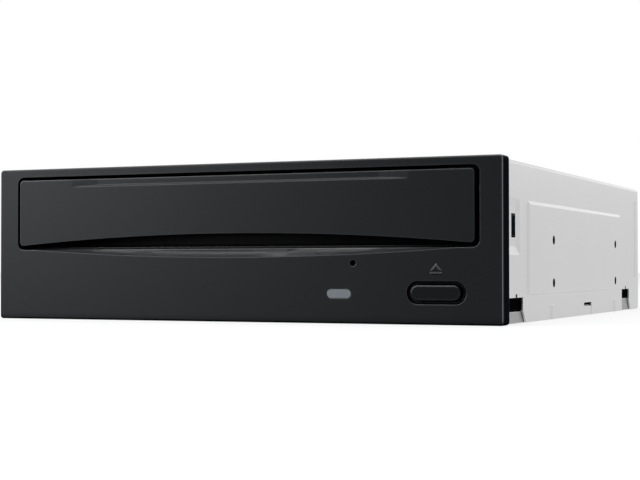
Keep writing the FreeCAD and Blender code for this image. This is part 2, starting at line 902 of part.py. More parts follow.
def front_bezel():
    """Moulded frame: front wall, rim, sill with the finger scoop and snap hooks behind."""
    half, mouth = S.bezel_w / 2, mouth_w / 2
    body = new_body("bezel_moulding")
    outline = sketch(body, "XZ", 0, "bezel_outline")
    rounded(outline, (-half, half), (0 * half, S.bezel_h), S.bezel_corner)
    pad(body, outline, S.bezel_t, "bezel_pad", reverse=True)
    fillet(body, on_plane("y", front_y), S.bezel_edge, "bezel_front_edge")
    opening = sketch(body, "XZ", 0, "mouth")
    rounded(opening, (-mouth, mouth), (S.mouth_sill, S.mouth_top), S.mouth_corner)
    pocket(body, opening, S.bezel_t, "mouth_pocket")
    step = sketch(body, "XZ", 0, "sill_recess")
    rounded(step, (-mouth, mouth), (S.sill_front, S.mouth_top), S.mouth_corner)
    pocket(body, step, S.sill_step, "sill_recess_pocket")
    hollow = sketch(body, "XZ", S.bezel_wall, "hollow")
    rim = S.bezel_rim
    rounded(hollow, (rim - half, half - rim), (rim, S.mouth_sill - S.sill_drop), S.mouth_corner)
    pocket(body, hollow, S.bezel_t - S.bezel_wall, "hollow_pocket")
    window = sketch(body, "XZ", 0, "light_window")
    stadium(window, S.light_x, S.light_z, S.light_w, S.light_h)
    pocket(body, window, S.bezel_wall, "light_pocket")
    hole = sketch(body, "XZ", 0, "pin_hole")
    circle(hole, pin_x, S.pin_z, S.pin_hole_r)
    pocket(body, hole, S.bezel_t, "pin_pocket")
    recess = sketch(body, "XZ", 0, "button_recess")
    stadium(recess, button_x, S.button_z, S.button_recess_w, S.button_recess_h)
    pocket(body, recess, S.button_recess_t, "button_recess_pocket")
    hole = sketch(body, "XZ", 0, "button_hole")
    stadium(hole, button_x, S.button_z, S.button_w + 2 * S.fit_gap, S.button_h + 2 * S.fit_gap)
    pocket(body, hole, S.bezel_wall, "button_pocket")
    scoop = sketch(body, "YZ", 0, "scoop")
    circle(scoop, -S.scoop_front, S.scoop_mid, S.scoop_radius)
    sweep_groove(body, scoop, 0 * half, S.scoop_mid + S.scoop_sweep, S.scoop_angle, "scoop_groove")

    low, high, reach = S.hook_low, S.hook_high, S.bezel_t + S.hook_len
    hooks = []
    for side in (-1, 1):
        arm = either(side, hook_x, hook_x + S.hook_t)
        hooks.append(block("hook_arm", arm, (S.bezel_wall, reach), (low, high)))
        nose = either(side, hook_x, hook_x + S.hook_t + S.hook_nose)
        hooks.append(block("hook_nose", nose, (S.latch_slot_front + S.fit_gap, S.latch_slot_rear - S.fit_gap),
                           (low, high)))
    piece("front_bezel", fuse("bezel", body, *hooks))


def tray_door():
    """Door on the tray: arched lower edge and a shallow step along a straight crease."""
    half, rear = door_w / 2, S.door_t - S.door_proud
    body = new_body("door_moulding")
    outline = sketch(body, "XZ", -S.door_proud, "door_outline")
    rounded(outline, (-half, half), (S.door_low, S.door_top), S.door_corner)
    pad(body, outline, S.door_t, "door_pad", reverse=True)
    arch_half = half - S.door_corner
    arch_r = (arch_half * arch_half + S.door_arch * S.door_arch) / (2 * S.door_arch)
    arch = sketch(body, "XZ", -S.door_proud, "door_arch")
    circle(arch, 0, S.door_low + S.door_arch - arch_r, arch_r)
    pocket(body, arch, S.door_t, "arch_pocket")
    hollow = sketch(body, "XZ", S.door_wall - S.door_proud, "door_hollow")
    ribs = [(-S.door_rib_x - S.door_rib_w / 2, -S.door_rib_x + S.door_rib_w / 2),
            (S.door_rib_x - S.door_rib_w / 2, S.door_rib_x + S.door_rib_w / 2)]
    low, high = S.door_low + S.door_arch + S.door_rim, S.door_top - S.door_rim
    edges = [S.door_rim - half, ribs[0][0], ribs[0][1], ribs[1][0], ribs[1][1], half - S.door_rim]
    for left, right in zip(edges[0::2], edges[1::2]):
        polygon(hollow, [(left, low), (right, low), (right, high), (left, high)])
    pocket(body, hollow, rear - (S.door_wall - S.door_proud), "hollow_pocket")
    piece("tray_door", cut("door", body, crease_cutter()))


def crease_cutter():
    """A shallow wedge for the band above the door's crease; its ends run out in long ramps."""
    obj = doc.addObject("Part::Wedge", "crease_cutter")
    level, above = S.door_top - S.door_crease, S.door_top + S.door_crease
    limits = {
        "Xmin": -crease_half, "Xmax": crease_half, "Zmin": level, "Zmax": above,
        "X2min": S.crease_ramp - crease_half, "X2max": crease_half - S.crease_ramp,
        "Z2min": level + S.crease_depth, "Z2max": above,
    }
    for prop, size in limits.items():
        setattr(obj, prop, num(size))
        obj.setExpression(prop, text(size))
    obj.Ymin = 0
    bind(obj, "Ymax", S.crease_depth)
    return place(obj, 0 * level, -S.door_proud, 0 * level)


def eject_button():
    """Button cap, its flange behind the wall and the stem to the switch."""
    body = new_body("button_moulding")
    cap = sketch(body, "XZ", -S.button_proud, "cap")
    stadium(cap, button_x, S.button_z, S.button_w, S.button_h)
    pad(body, cap, S.bezel_wall + S.fit_gap + S.button_proud, "cap_pad", reverse=True)
    fillet(body, on_plane("y", front_y - S.button_proud), S.bezel_edge, "cap_edge")
    flange = sketch(body, "XZ", S.bezel_wall + S.fit_gap, "flange")
    stadium(flange, button_x, S.button_z, S.button_w + 2 * S.button_flange, S.button_h + 2 * S.button_flange)
    pad(body, flange, S.button_flange_t, "flange_pad", reverse=True)
    start = S.bezel_wall + S.fit_gap + S.button_flange_t
    stem = sketch(body, "XZ", start, "stem")
    w = S.stem_w / 2
    polygon(stem, [(button_x - w, S.button_z - w), (button_x + w, S.button_z - w),
                   (button_x + w, S.button_z + w), (button_x - w, S.button_z + w)])
    pad(body, stem, switch_tip - start, "stem_pad", reverse=True)
    piece("eject_button", body)


def light_pipe():
    """Clear window with a flange behind the wall and a bar back to the light."""
    body = new_body("pipe_moulding")
    front = sketch(body, "XZ", S.run_gap, "pipe_front")
    stadium(front, S.light_x, S.light_z, S.light_w - 2 * S.run_gap, S.light_h - 2 * S.run_gap)
    pad(body, front, S.bezel_wall - S.run_gap, "pipe_front_pad", reverse=True)
    flange = sketch(body, "XZ", S.bezel_wall, "pipe_flange")
    stadium(flange, S.light_x, S.light_z, S.light_w + S.bezel_rim, S.light_h + S.bezel_rim)
    pad(body, flange, S.bezel_edge * 2, "pipe_flange_pad", reverse=True)
    start = S.bezel_wall + S.bezel_edge * 2
    bar = sketch(body, "XZ", start, "pipe_bar")
    w, h = S.led_w / 2, S.light_h / 2
    polygon(bar, [(S.light_x - w, S.light_z - h), (S.light_x + w, S.light_z - h),
                  (S.light_x + w, S.light_z + h), (S.light_x - w, S.light_z + h)])
    pad(body, bar, S.led_front - start, "pipe_bar_pad", reverse=True)
    piece("light_pipe", body)


# ---------------------------------------------------------------- sheet-metal case

def top_cover():
    """Folded cover: roof, two stamped sides and the upper half of the rear wall."""
    half, low, top, t, front = cover_w / 2, S.cover_low, cover_top, S.sheet, S.bezel_t
    body = new_body("cover_fold")
    outline = sketch(body, "XZ", front, "cover_profile")
    polygon(outline, [(-half, low), (t - half, low), (t - half, top - t), (half - t, top - t),
                      (half - t, low), (half, low), (half, top), (-half, top)])
    pad(body, outline, S.depth - front, "cover_pad", reverse=True)
    fillet(body, lambda e: e.BoundBox.YLength > 10 and abs(e.BoundBox.ZMin - num(top)) < 1e-4
           and abs(e.BoundBox.XMin) > num(half) - 1e-4, S.cover_bend, "cover_bend")
    fillet(body, lambda e: e.BoundBox.XLength < 1 and abs(e.BoundBox.YMin - num(S.depth + front_y)) < 1e-4
           and abs(e.BoundBox.ZMax - num(low)) < 1e-4, S.rear_round, "rear_corner")
    added = [block("cover_rear", (-half, half), (S.depth - t, S.depth), (S.cover_rear_low, top - S.cover_bend)),
             stamped("stamp_under", "-Z", top - t, S.stamp_depth, (-stamp_half, stamp_half),
                     (S.stamp_front, stamp_rear), S.stamp_slope)]
    removed = [stamped("stamp", "-Z", top, S.stamp_depth, (-stamp_half, stamp_half),
                       (S.stamp_front, stamp_rear), S.stamp_slope)]
    collars, holes = [], []
    for side in (-1, 1):
        out, into = ("+X", "-X") if side > 0 else ("-X", "+X")
        face, inner = side * half, side * (half - t)
        panel = ((S.panel_low, S.panel_high), (S.panel_front, panel_rear), S.panel_slope)
        added.append(stamped("panel", out, face, S.panel_proud, *panel))
        removed.append(stamped("panel_inside", out, inner, S.panel_proud, *panel))
        latch = ((S.latch_low, S.latch_high), (front - S.latch_slope, S.latch_rear), S.latch_slope)
        removed.append(stamped("latch_dish", into, face, S.latch_depth, *latch))
        inside = stamped("latch_inside", into, inner, S.latch_depth, *latch)
        ahead = block("latch_ahead", (-half, half), (front - 2 * S.latch_slope, front), (low, top))
        added.append(cut("latch_trimmed", inside, ahead))
        ribbed = ((S.groove_low, S.groove_high), (groove_y - S.groove_w / 2, groove_y + S.groove_w / 2),
                  S.groove_slope)
        removed.append(stamped("groove", into, face, S.panel_proud, *ribbed))
        added.append(stamped("groove_inside", into, inner, S.panel_proud, *ribbed))
        removed.append(block("latch_slot", either(side, half - 2, half + 1),
                             (S.latch_slot_front, S.latch_slot_rear), (S.latch_slot_low, S.latch_slot_high)))
        for y in (S.side_hole_front, S.side_hole_front + S.hole_pitch_y):
            for z in (S.side_hole_low + low, S.side_hole_low + low + S.hole_pitch_z):
                x = either(side, half + S.panel_proud - t - S.collar_len, half + S.panel_proud - t / 2)
                collars.append(rod("side_collar", x[0], y, z, S.collar_r, x[1] - x[0], "X"))
                wide = either(side, half - 3, half + 2)
                holes.append(rod("side_hole", wide[0], y, z, S.hole_r, wide[1] - wide[0], "X"))
        for y in (S.bump_front_y, bump_rear_y):
            axis_x = side * (half + S.panel_proud - S.bump_r)
            wide = either(side, half - t / 2, half + 2)
            dome = rod("bump_rod", axis_x, y, low, S.bump_r, S.bump_top - low)
            reach = block("bump_reach", wide, (y - S.bump_r, y + S.bump_r), (low, S.bump_top))
            common = doc.addObject("Part::Common", "bump")
            common.Base, common.Tool = dome, reach
            collars.append(common)
            holes.append(rod("bump_inside", axis_x, y, low, S.bump_r - t, S.bump_top - low - t / 2))
        wall = either(side, half - 3, half + 2)
        removed.append(block("tongue_slot", wall, (S.tongue_front, S.tongue_rear), (S.tongue_low, S.tongue_high)))
        removed.append(block("tongue_slit", wall, (S.tongue_rear - S.slit_w, S.tongue_rear),
                             (low - 1, S.tongue_high)))
    removed.append(notch("front_notch", front - 1, S.notch_front_rear, S.notch_front_top, False))
    removed.append(notch("rear_notch", notch_rear_front, notch_rear_rear, S.notch_rear_top, True))
    for at, height in ((S.tick_front, S.notch_front_top), (tick_rear, S.notch_rear_top)):
        removed.append(block("tick", (-half - 2, half + 2), (at, at + S.tick_w), (height - 1, height + S.tick_rise)))
    stamped_shell = cut("cover_stamped", fuse("cover_shell", body, *added), *removed)
    piece("top_cover", cut("cover", fuse("cover_collared", stamped_shell, *collars), *holes))


def notch(name, front, rear, top, rear_flare):
    """A notch through both side walls, open below, with a flared lower corner behind."""
    body = new_body(name)
    outline = sketch(body, "YZ", -S.bezel_w / 2 - 2, name + "_outline")
    bottom = S.cover_low - 1
    polygon(outline, [(front, bottom), (rear + S.notch_flare, bottom), (rear + S.notch_flare, S.cover_low),
                      (rear, S.notch_step), (rear, top), (front, top)])
    pad(body, outline, S.bezel_w + 4, name + "_pad")
    return body


def bottom_plate():
    """Flat tray of sheet with turned-up edges, screw dimples and the connector window."""
    t, low = S.sheet, S.cover_low
    half = cover_w / 2 - t - S.plate_gap
    front, rear = S.plate_front, S.depth - t - S.plate_gap
    added = [block("plate", (-half, half), (front, rear), (low, low + t)),
             block("plate_rear", (-half, half), (rear - t, rear), (low, S.plate_rear_h))]
    removed = [block("window", (power_left - S.window_margin, data_left + S.data_w + S.window_margin), (rear - 2 * t, rear + t),
                     (S.window_low, S.window_high))]
    for side in (-1, 1):
        added.append(block("flange", either(side, half - t, half), (front, rear), (low, S.flange_h)))
        added.append(block("flange_rear", either(side, half - t, half), (notch_rear_front, rear),
                           (low, S.flange_rear_h)))
        bead = either(side, S.bead_x - S.bead_w / 2, S.bead_x + S.bead_w / 2)
        ys = (S.bead_front, S.bead_rear)
        added.append(stamped("bead_over", "+Z", low + t, S.bead_h, bead, ys, S.bead_h))
        removed.append(stamped("bead", "+Z", low, S.bead_h, bead, ys, S.bead_h))
        for y in (S.case_screw_front, case_screw_rear):
            x = side * case_screw_x
            added.append(rod("dimple_over", x, y, low, S.dimple_r + t, t + S.dimple_h))
            removed.append(rod("dimple", x, y, low, S.dimple_r, S.dimple_h))
            removed.append(rod("screw_way", x, y, low, S.screw_r + S.run_gap, 2 * t + S.dimple_h))
        for y in (S.side_hole_front, S.side_hole_front + S.hole_pitch_y):
            x = side * bottom_hole_x
            added.append(rod("bottom_collar", x, y, low, S.collar_r, t + S.collar_len))
            removed.append(rod("bottom_hole", x, y, low - t, S.hole_r, 4 * t + S.collar_len))
    piece("bottom_plate", cut("plate_body", fuse("plate_shell", *added), *removed))


def case_screws():
    """Four pan-head screws in the dimples of the bottom plate."""
    screws = []
    head_z = S.cover_low + S.dimple_h - S.screw_head_h
    for side in (-1, 1):
        for y in (S.case_screw_front, case_screw_rear):
            x = side * case_screw_x
            screws.append(rod("head", x, y, head_z, S.screw_head_r, S.screw_head_h))
            screws.append(rod("shank", x, y, head_z, S.screw_r, S.case_screw_len))
    piece("case_screws", fuse("case_screw_set", *screws))


# ---------------------------------------------------------------- main frame

def main_frame():
    """Moulded chassis: side walls, tray rails, front deck, cam bar and rear bar with the sockets."""
    half, wall, low, top = frame_half, S.frame_wall, S.frame_low, S.frame_top
    inner = half - wall
    rail_top = S.tray_edge_low - S.fit_gap + 0.1
    guide_in, tab_low = tray_half + S.fit_gap, S.tray_top + S.fit_gap
    deck_top = S.deck_z + S.deck_t
    bar_low = S.frame_low
    added = [
        block("deck", (-deck_half, deck_half), (S.deck_front, S.deck_rear), (S.deck_z, deck_top)),
        block("deck_sides", (-inner, inner), (S.frame_front, S.deck_rear), (S.deck_z, deck_top)),
        block("front_bar", (-inner, inner), (S.front_bar_front, S.front_bar_rear), (bar_low, bar_low + S.front_bar_t)),
        block("rear_bar", (-inner, inner), (rear_bar_front, frame_rear), (S.rear_bar_low, S.rear_bar_high)),
        # lip and hook that keep the cam slider on its bar
        block("cam_lip", (hook_bar_x, hook_bar_x + S.hook_bar_w), (S.lip_y, S.front_bar_rear),
              (bar_low, S.cam_low_top + S.fit_gap)),
        block("cam_hook", (hook_bar_x, hook_bar_x + S.hook_bar_w), (S.deck_rear - 1, S.front_bar_rear),
              (S.cam_low_top + S.fit_gap, deck_top)),
        block("bar_front_lip", (-inner, inner), (S.front_bar_front, S.deck_rear),
              (bar_low, S.cam_low + S.front_bar_t)),
    ]
    removed = []
    for side in (-1, 1):
        added.append(block("wall", either(side, inner, half), (S.frame_front, frame_rear), (low, top)))
        added.append(block("rail", either(side, rail_in, inner), (S.frame_front, rail_rear), (S.rail_low, rail_top)))
        added.append(block("front_rail", either(side, rail_in, deck_half), (S.deck_front, S.frame_front),
                           (S.rail_low, rail_top)))
        added.append(block("front_web", either(side, deck_half - S.guide_t + 1, deck_half),
                           (S.deck_front, S.frame_front + wall), (S.deck_z, tab_low + S.tab_h)))
        added.append(block("front_join", either(side, deck_half - S.guide_t + 1, half),
                           (S.frame_front, S.frame_front + wall), (S.deck_z, top)))
        added.append(block("guide", either(side, guide_in, inner), (S.frame_front, rail_rear), (rail_top - 1, tab_low)))
        added.append(block("tray_cheek", either(side, guide_in, deck_half), (S.deck_front, S.frame_front),
                           (rail_top - 1, tab_low + S.tab_h)))
        removed.append(block("tray_path", either(side, 0 * half, guide_in), (S.deck_front - 1, frame_rear + 1),
                             (rail_top, tab_low)))
        for y in (S.tab_front_y, S.tab_mid_y, tab_rear_y):
            out = deck_half if y is S.tab_front_y or num(y) < num(S.frame_front) else inner
            added.append(block("tab", either(side, rail_in, out), (y, y + S.tab_w), (tab_low, tab_low + S.tab_h)))
        # feet that show in the cover's notches
        added.append(block("front_foot", either(side, half - 2 * wall, half), (S.deck_front, S.notch_front_rear),
                           (low, low + S.foot_h)))
        added.append(block("foot_web", either(side, deck_half - wall, half - wall),
                           (S.deck_front, S.notch_front_rear), (low, low + S.foot_h)))
        added.append(block("foot_post", either(side, deck_half - wall, deck_half),
                           (S.deck_front, S.frame_front + wall), (low, deck_top)))
        removed.append(block("rear_step", either(side, inner - 0.1, half + 1),
                             (notch_rear_front - 2, frame_rear + 1), (low - 1, S.flange_rear_h + S.fit_gap)))
        # screw posts down to the bottom plate
        post_low = S.cover_low + S.dimple_h + S.sheet
        for y, height in ((S.case_screw_front, S.deck_z), (case_screw_rear, S.rear_bar_low)):
            x = side * case_screw_x
            added.append(rod("post", x, y, post_low, S.post_r, height - post_low + 1))
            removed.append(rod("post_bore", x, y, post_low - 1, S.screw_r + S.run_gap, S.case_screw_len + 1))
        # bosses under the clamp bridge
        for y in bridge_screw_ys():
            added.append(block("bridge_boss", either(side, bridge_boss_in, inner),
                               (y - S.bridge_boss_w / 2, y + S.bridge_boss_w / 2), (tab_low - 1, top)))
            removed.append(rod("bridge_bore", side * bridge_screw_x, y, top - 5, S.board_screw_r, 6))
        # sockets of the traverse pins
        ears = either(side, holder_half + S.fit_gap + 0.1, holder_half + S.fit_gap + 0.1 + S.socket_t)
        added.append(block("socket", ears, (socket_front, rear_bar_front), (S.socket_low, S.socket_high)))
        removed.append(rod("socket_bore", ears[0] - 1, pivot_y, S.pivot_z, S.pivot_r + S.run_gap,
                           S.socket_t + 2, "X"))
    # loading motor, gear pins and the boards' screw bosses
    removed.append(rod("motor_way", motor_x, S.motor_y, S.deck_z - 1, S.motor_boss_r + S.run_gap, S.deck_t + 2))
    for side in (-1, 1):
        removed.append(rod("motor_screw_way", motor_x, S.motor_y + side * S.motor_screw_pitch / 2,
                           S.deck_z - 1, S.board_screw_r, S.deck_t + 2))
    for x, pin_top in ((gear_x, S.pinion_high - 0.3), (pulley_x, S.pulley_low + S.pulley_t)):
        added.append(rod("gear_boss", x, S.gear_y, deck_top - 1, S.gear_boss_r, 1 + S.gear_boss_h))
        added.append(rod("gear_pin", x, S.gear_y, deck_top - 1, S.gear_pin_r, pin_top - deck_top + 1))
    board_top = S.front_board_z + S.board_t
    added.append(rod("board_boss", board_screw_x, S.board_screw_y, board_top, S.board_boss_r,
                     S.deck_z - board_top + 1))
    removed.append(rod("board_bore", board_screw_x, S.board_screw_y, board_top - 1, S.board_screw_r, 6))
    main_top = S.main_board_z + S.board_t
    for side in (-1, 1):
        added.append(rod("main_boss", side * main_screw_x, main_screw_y, main_top, S.board_boss_r,
                         S.rear_bar_low - main_top + 1))
        removed.append(rod("main_bore", side * main_screw_x, main_screw_y, main_top - 1, S.board_screw_r, 6))
    # way through the rear bar for the connectors' shells and lightening pockets in it
    removed.append(block("plug_way", (power_left - 2 * S.fit_gap, data_left + S.data_w + 2 * S.fit_gap),
                         (plug_front - 1, frame_rear + 1), (S.rear_bar_low - 1, main_top + S.plug_h + 0.4)))
    for i in range(4):
        middle = (i - 1.5) * 26
        removed.append(block("bar_pocket", (middle - main_board_half / 6, middle + main_board_half / 6),
                             (rear_bar_front + 1.5, frame_rear + 1), (S.rear_bar_high - 7, S.rear_bar_high + 1)))
    piece("main_frame", cut("frame", fuse("frame_solid", *added), *removed))


def bridge_screw_ys():
    return S.bridge_front + S.bridge_screw_edge, S.bridge_rear - S.bridge_screw_edge


# ---------------------------------------------------------------- tray, rack and gears

def disc_tray():
    """Drawer with stepped disc wells, the pickup slot, a front wall for the door and a rack below."""
    body = new_body("tray_moulding")
    outline = sketch(body, "XY", S.tray_low, "tray_outline")
    rounded(outline, (-tray_half, tray_half), (S.tray_front, tray_rear), S.tray_corner)
    pad(body, outline, S.tray_top - S.tray_low, "tray_pad")
    boss = sketch(body, "XY", S.small_boss_low, "well_boss")
    circle(boss, 0, S.disc_y, S.small_boss_r)
    pad(body, boss, S.tray_low - S.small_boss_low, "well_boss_pad")
    well = sketch(body, "XY", S.disc_floor, "disc_well")
    circle(well, 0, S.disc_y, S.disc_r)
    pocket(body, well, S.tray_top - S.disc_floor, "disc_well_pocket", reverse=True)
    small = sketch(body, "XY", S.small_disc_floor, "small_well")
    circle(small, 0, S.disc_y, S.small_disc_r)
    pocket(body, small, S.disc_floor - S.small_disc_floor, "small_well_pocket", reverse=True)
    wall = tray_wall_half
    behind = S.tray_front + S.tray_wall_t
    added = [block("tray_wall", (-wall, wall), (S.tray_front, behind), (S.tray_wall_low, S.tray_wall_high)),
             block("tray_apron", (-wall, wall), (behind, behind + S.apron_t), (S.apron_low, S.tray_low + S.apron_t)),
             rack()]
    for side in (-1, 1):
        added.append(block("tray_runner", either(side, rail_in - 1, tray_half),
                           (S.tray_front + S.tray_corner, tray_rear - S.tray_corner), (S.tray_edge_low, S.tray_low)))
    slot_low, slot_h = S.small_boss_low - 1, S.tray_top - S.small_boss_low + 2
    removed = [rod("slot_round", 0, S.disc_y, slot_low, S.slot_r, slot_h),
               block("slot", (-S.slot_half, S.slot_half), (S.disc_y, slot_rear), (slot_low, slot_low + slot_h)),
               block("cone_way", (-S.slot_half, S.slot_half), (slot_rear - 1, tray_rear + 1),
                     (slot_low, S.tray_low + S.slot_relief))]
    piece("disc_tray", cut("tray", fuse("tray_solid", body, *added), *removed))


def rack():
    """Straight rack under the tray's left side, teeth toward the pinion, a gap at the pinion's middle."""
    m, x, y = num(S.rack_module), num(rack_x), num(S.gear_y + front_y)
    pitch, tip, root = math.pi * m, 0.8 * m, 1.15 * m
    slant = math.tan(math.radians(num(S.mesh_angle)))
    half = pitch / 4 - num(S.backlash) / 4
    front, rear = num(S.rack_front + front_y), num(rack_rear + front_y)
    first = math.ceil((front + pitch - y) / pitch - 0.5)
    last = math.floor((rear - pitch - y) / pitch - 0.5)
    points = [V(x - root - num(S.rack_back), front, 0), V(x - root, front, 0)]
    for i in range(first, last + 1):
        middle = y + (i + 0.5) * pitch
        points += [V(x - root, middle - half - root * slant, 0), V(x + tip, middle - half + tip * slant, 0),
                   V(x + tip, middle + half - tip * slant, 0), V(x - root, middle + half + root * slant, 0)]
    points += [V(x - root, rear, 0), V(x - root - num(S.rack_back), rear, 0)]
    return prism("rack", points, S.rack_low, S.tray_low)


def prism(name, points, low, high):
    """A straight-edged outline raised from one level to another."""
    obj = doc.addObject("Part::Feature", name)
    face = Part.Face(Part.makePolygon(points + [points[0]]))
    obj.Shape = face.extrude(V(0, 0, num(high - low)))
    obj.Placement = FreeCAD.Placement(V(0, 0, num(low)), FreeCAD.Rotation())
    return obj


def gear(name, x, y, low, high, module, teeth, phase):
    """Spur gear with stub involute teeth, one tooth at the phase angle."""
    m, count = num(module), int(num(teeth))
    pitch_r, tip_r, root_r = m * count / 2, m * count / 2 + 0.8 * m, m * count / 2 - 1.15 * m
    pressure = math.radians(num(S.mesh_angle))
    base_r = pitch_r * math.cos(pressure)

    def flank(radius):
        """Half the tooth's angle at a radius."""
        turn = math.acos(min(1.0, base_r / max(radius, base_r)))
        at_pitch = math.tan(pressure) - pressure
        thickness = math.pi / (2 * count) - num(S.backlash) / (4 * pitch_r)
        return thickness + at_pitch - (math.tan(turn) - turn)

    radii = [root_r, max(base_r, root_r + 0.02 * m), pitch_r, tip_r]
    points = []
    for i in range(count):
        middle = math.radians(num(phase)) + 2 * math.pi * i / count
        sides = [(r, -flank(r)) for r in radii] + [(r, flank(r)) for r in reversed(radii)]
        points += [V(num(x) + r * math.cos(middle + a), num(y + front_y) + r * math.sin(middle + a), 0)
                   for r, a in sides]
    return prism(name, points, low, high)


def drive_gear():
    """Pinion on the rack with the big wheel below it."""
    x, y = gear_x, S.gear_y
    wheel_top = S.wheel_low + S.wheel_t
    pinion = gear("pinion", x, y, wheel_top - 0.5, S.pinion_high, S.rack_module, S.pinion_teeth, 0)
    wheel = gear("wheel", x, y, S.wheel_low, wheel_top, S.wheel_module, S.wheel_teeth, 0)
    bore = rod("gear_bore", x, y, S.wheel_low - 1, S.gear_pin_r + S.run_gap, S.pinion_high - S.wheel_low + 2)
    piece("drive_gear", cut("drive_gear_body", fuse("drive_gear_solid", pinion, wheel), bore))


def pulley_gear():
    """Small gear with the belt pulley above it."""
    x, y = pulley_x, S.gear_y
    small = gear("small_gear", x, y, S.wheel_low, S.pulley_low + 0.5, S.wheel_module, S.small_teeth,
                 180.0 / SIZES["small_teeth"])
    parts = [small] + pulley(x, y, S.pulley_r)
    bore = rod("pulley_bore", x, y, S.wheel_low - 1, S.gear_pin_r + S.run_gap,
               S.pulley_low + S.pulley_t - S.wheel_low + 2)
    piece("pulley_gear", cut("pulley_gear_body", fuse("pulley_gear_solid", *parts), bore))


def pulley(x, y, radius):
    """Two lips with the belt seat between them."""
    lip = S.pulley_lip_t
    return [rod("seat", x, y, S.pulley_low, radius - S.belt_t / 2, S.pulley_t),
            rod("lower_lip", x, y, S.pulley_low, radius + S.pulley_lip, lip),
            rod("upper_lip", x, y, S.pulley_low + S.pulley_t - lip, radius + S.pulley_lip, lip)]


def motor_pulley():
    bore = rod("motor_bore", motor_x, S.motor_y, S.pulley_low - 1, S.motor_shaft_r + S.run_gap, S.pulley_t + 2)
    solid = fuse("motor_pulley_solid", *pulley(motor_x, S.motor_y, S.motor_pulley_r))
    piece("motor_pulley", cut("motor_pulley_body", solid, bore))


def drive_belt():
    """Square-section belt: two arcs joined by the tangents of the two pulleys."""
    first = V(num(pulley_x), num(S.gear_y + front_y), 0)
    second = V(num(motor_x), num(S.motor_y + front_y), 0)
    obj = doc.addObject("Part::Feature", "belt")
    gap = num(S.run_gap)
    outer = belt_face(first, second, num(S.pulley_r + S.belt_t / 2), num(S.motor_pulley_r + S.belt_t / 2))
    inner = belt_face(first, second, num(S.pulley_r - S.belt_t / 2) + gap,
                      num(S.motor_pulley_r - S.belt_t / 2) + gap)
    obj.Shape = outer.cut(inner).extrude(V(0, 0, num(S.belt_w)))
    low = S.pulley_low + S.pulley_t / 2 - S.belt_w / 2
    obj.Placement = FreeCAD.Placement(V(0, 0, num(low)), FreeCAD.Rotation())
    piece("drive_belt", obj)


def belt_face(first, second, r1, r2):
    """The area inside a belt around two circles."""
    way = second - first
    heading = math.atan2(way.y, way.x)
    lean = math.acos((r1 - r2) / way.Length)

    def on(centre, radius, angle):
        return centre + V(radius * math.cos(angle), radius * math.sin(angle), 0)

    a, b = on(first, r1, heading + lean), on(first, r1, heading - lean)
    c, d = on(second, r2, heading - lean), on(second, r2, heading + lean)
    edges = [Part.Arc(a, on(first, r1, heading + math.pi), b).toShape(), Part.LineSegment(b, c).toShape(),
             Part.Arc(c, on(second, r2, heading), d).toShape(), Part.LineSegment(d, a).toShape()]
    return Part.Face(Part.Wire(edges))


def loading_motor():
    low = S.deck_z - S.motor_h
    can = rod("motor_can", motor_x, S.motor_y, low, S.motor_r, S.motor_h)
    boss = rod("motor_boss", motor_x, S.motor_y, S.deck_z - 1, S.motor_boss_r, 1 + S.deck_t)
    shaft = rod("motor_shaft", motor_x, S.motor_y, low, S.motor_shaft_r,
                S.pulley_low + S.pulley_t - low)
    holes = [rod("motor_hole", motor_x, S.motor_y + side * S.motor_screw_pitch / 2, S.deck_z - 3,
                 S.board_screw_r, 4) for side in (-1, 1)]
    piece("loading_motor", cut("motor_body", fuse("motor_solid", can, boss, shaft), *holes))


def motor_screws():
    top = S.deck_z + S.deck_t
    screws = []
    for side in (-1, 1):
        y = S.motor_y + side * S.motor_screw_pitch / 2
        screws.append(rod("head", motor_x, y, top, S.board_head_r, S.board_head_h))
        screws.append(rod("shank", motor_x, y, top - S.deck_t - 2.8, S.board_screw_r, S.deck_t + 3))
    piece("motor_screws", fuse("motor_screw_set", *screws))


def cam_slider():
    """Slider with two slanted slots that lift the traverse pins."""
    body = new_body("cam_plate")
    outline = sketch(body, "XZ", S.cam_front, "cam_outline")
    polygon(outline, [(cam_left, S.cam_low), (S.cam_right, S.cam_low), (S.cam_right, S.cam_high_top),
                      (S.cam_step_x, S.cam_high_top), (S.cam_step_x, S.cam_low_top), (cam_left, S.cam_low_top)])
    pad(body, outline, S.cam_t, "cam_pad", reverse=True)
    low_z = pin_low_z()
    slots = []
    for x in (S.cam_pin_left, S.cam_pin_right):
        slots.append(slant_slot(x, low_z, x - S.cam_travel, S.cam_pin_z))
    piece("cam_slider", cut("cam", body, *slots))


def pin_low_z():
    """Height of a lift pin's middle when the traverse is down."""
    reach = pivot_y - (S.cam_front + S.cam_t / 2)
    return S.pivot_z - reach * sine(S.lower_angle) + (S.cam_pin_z - S.pivot_z) * cosine(S.lower_angle)


def slant_slot(x0, z0, x1, z1):
    """A straight slot with round ends between two points, through the slider."""
    obj = doc.addObject("Part::Feature", "slant_slot")
    start, end = V(num(x0), 0, num(z0)), V(num(x1), 0, num(z1))
    r = num(S.cam_slot_half)
    way = (end - start).normalize()
    side = V(-way.z, 0, way.x) * r
    edges = [Part.LineSegment(start + side, end + side).toShape(),
             Part.Arc(end + side, end + way * r, end - side).toShape(),
             Part.LineSegment(end - side, start - side).toShape(),
             Part.Arc(start - side, start - way * r, start + side).toShape()]
    obj.Shape = Part.Face(Part.Wire(edges)).extrude(V(0, num(S.cam_t) + 2, 0))
    obj.Placement = FreeCAD.Placement(V(0, num(S.cam_front + front_y) - 1, 0), FreeCAD.Rotation())
    return obj


# ---------------------------------------------------------------- clamp

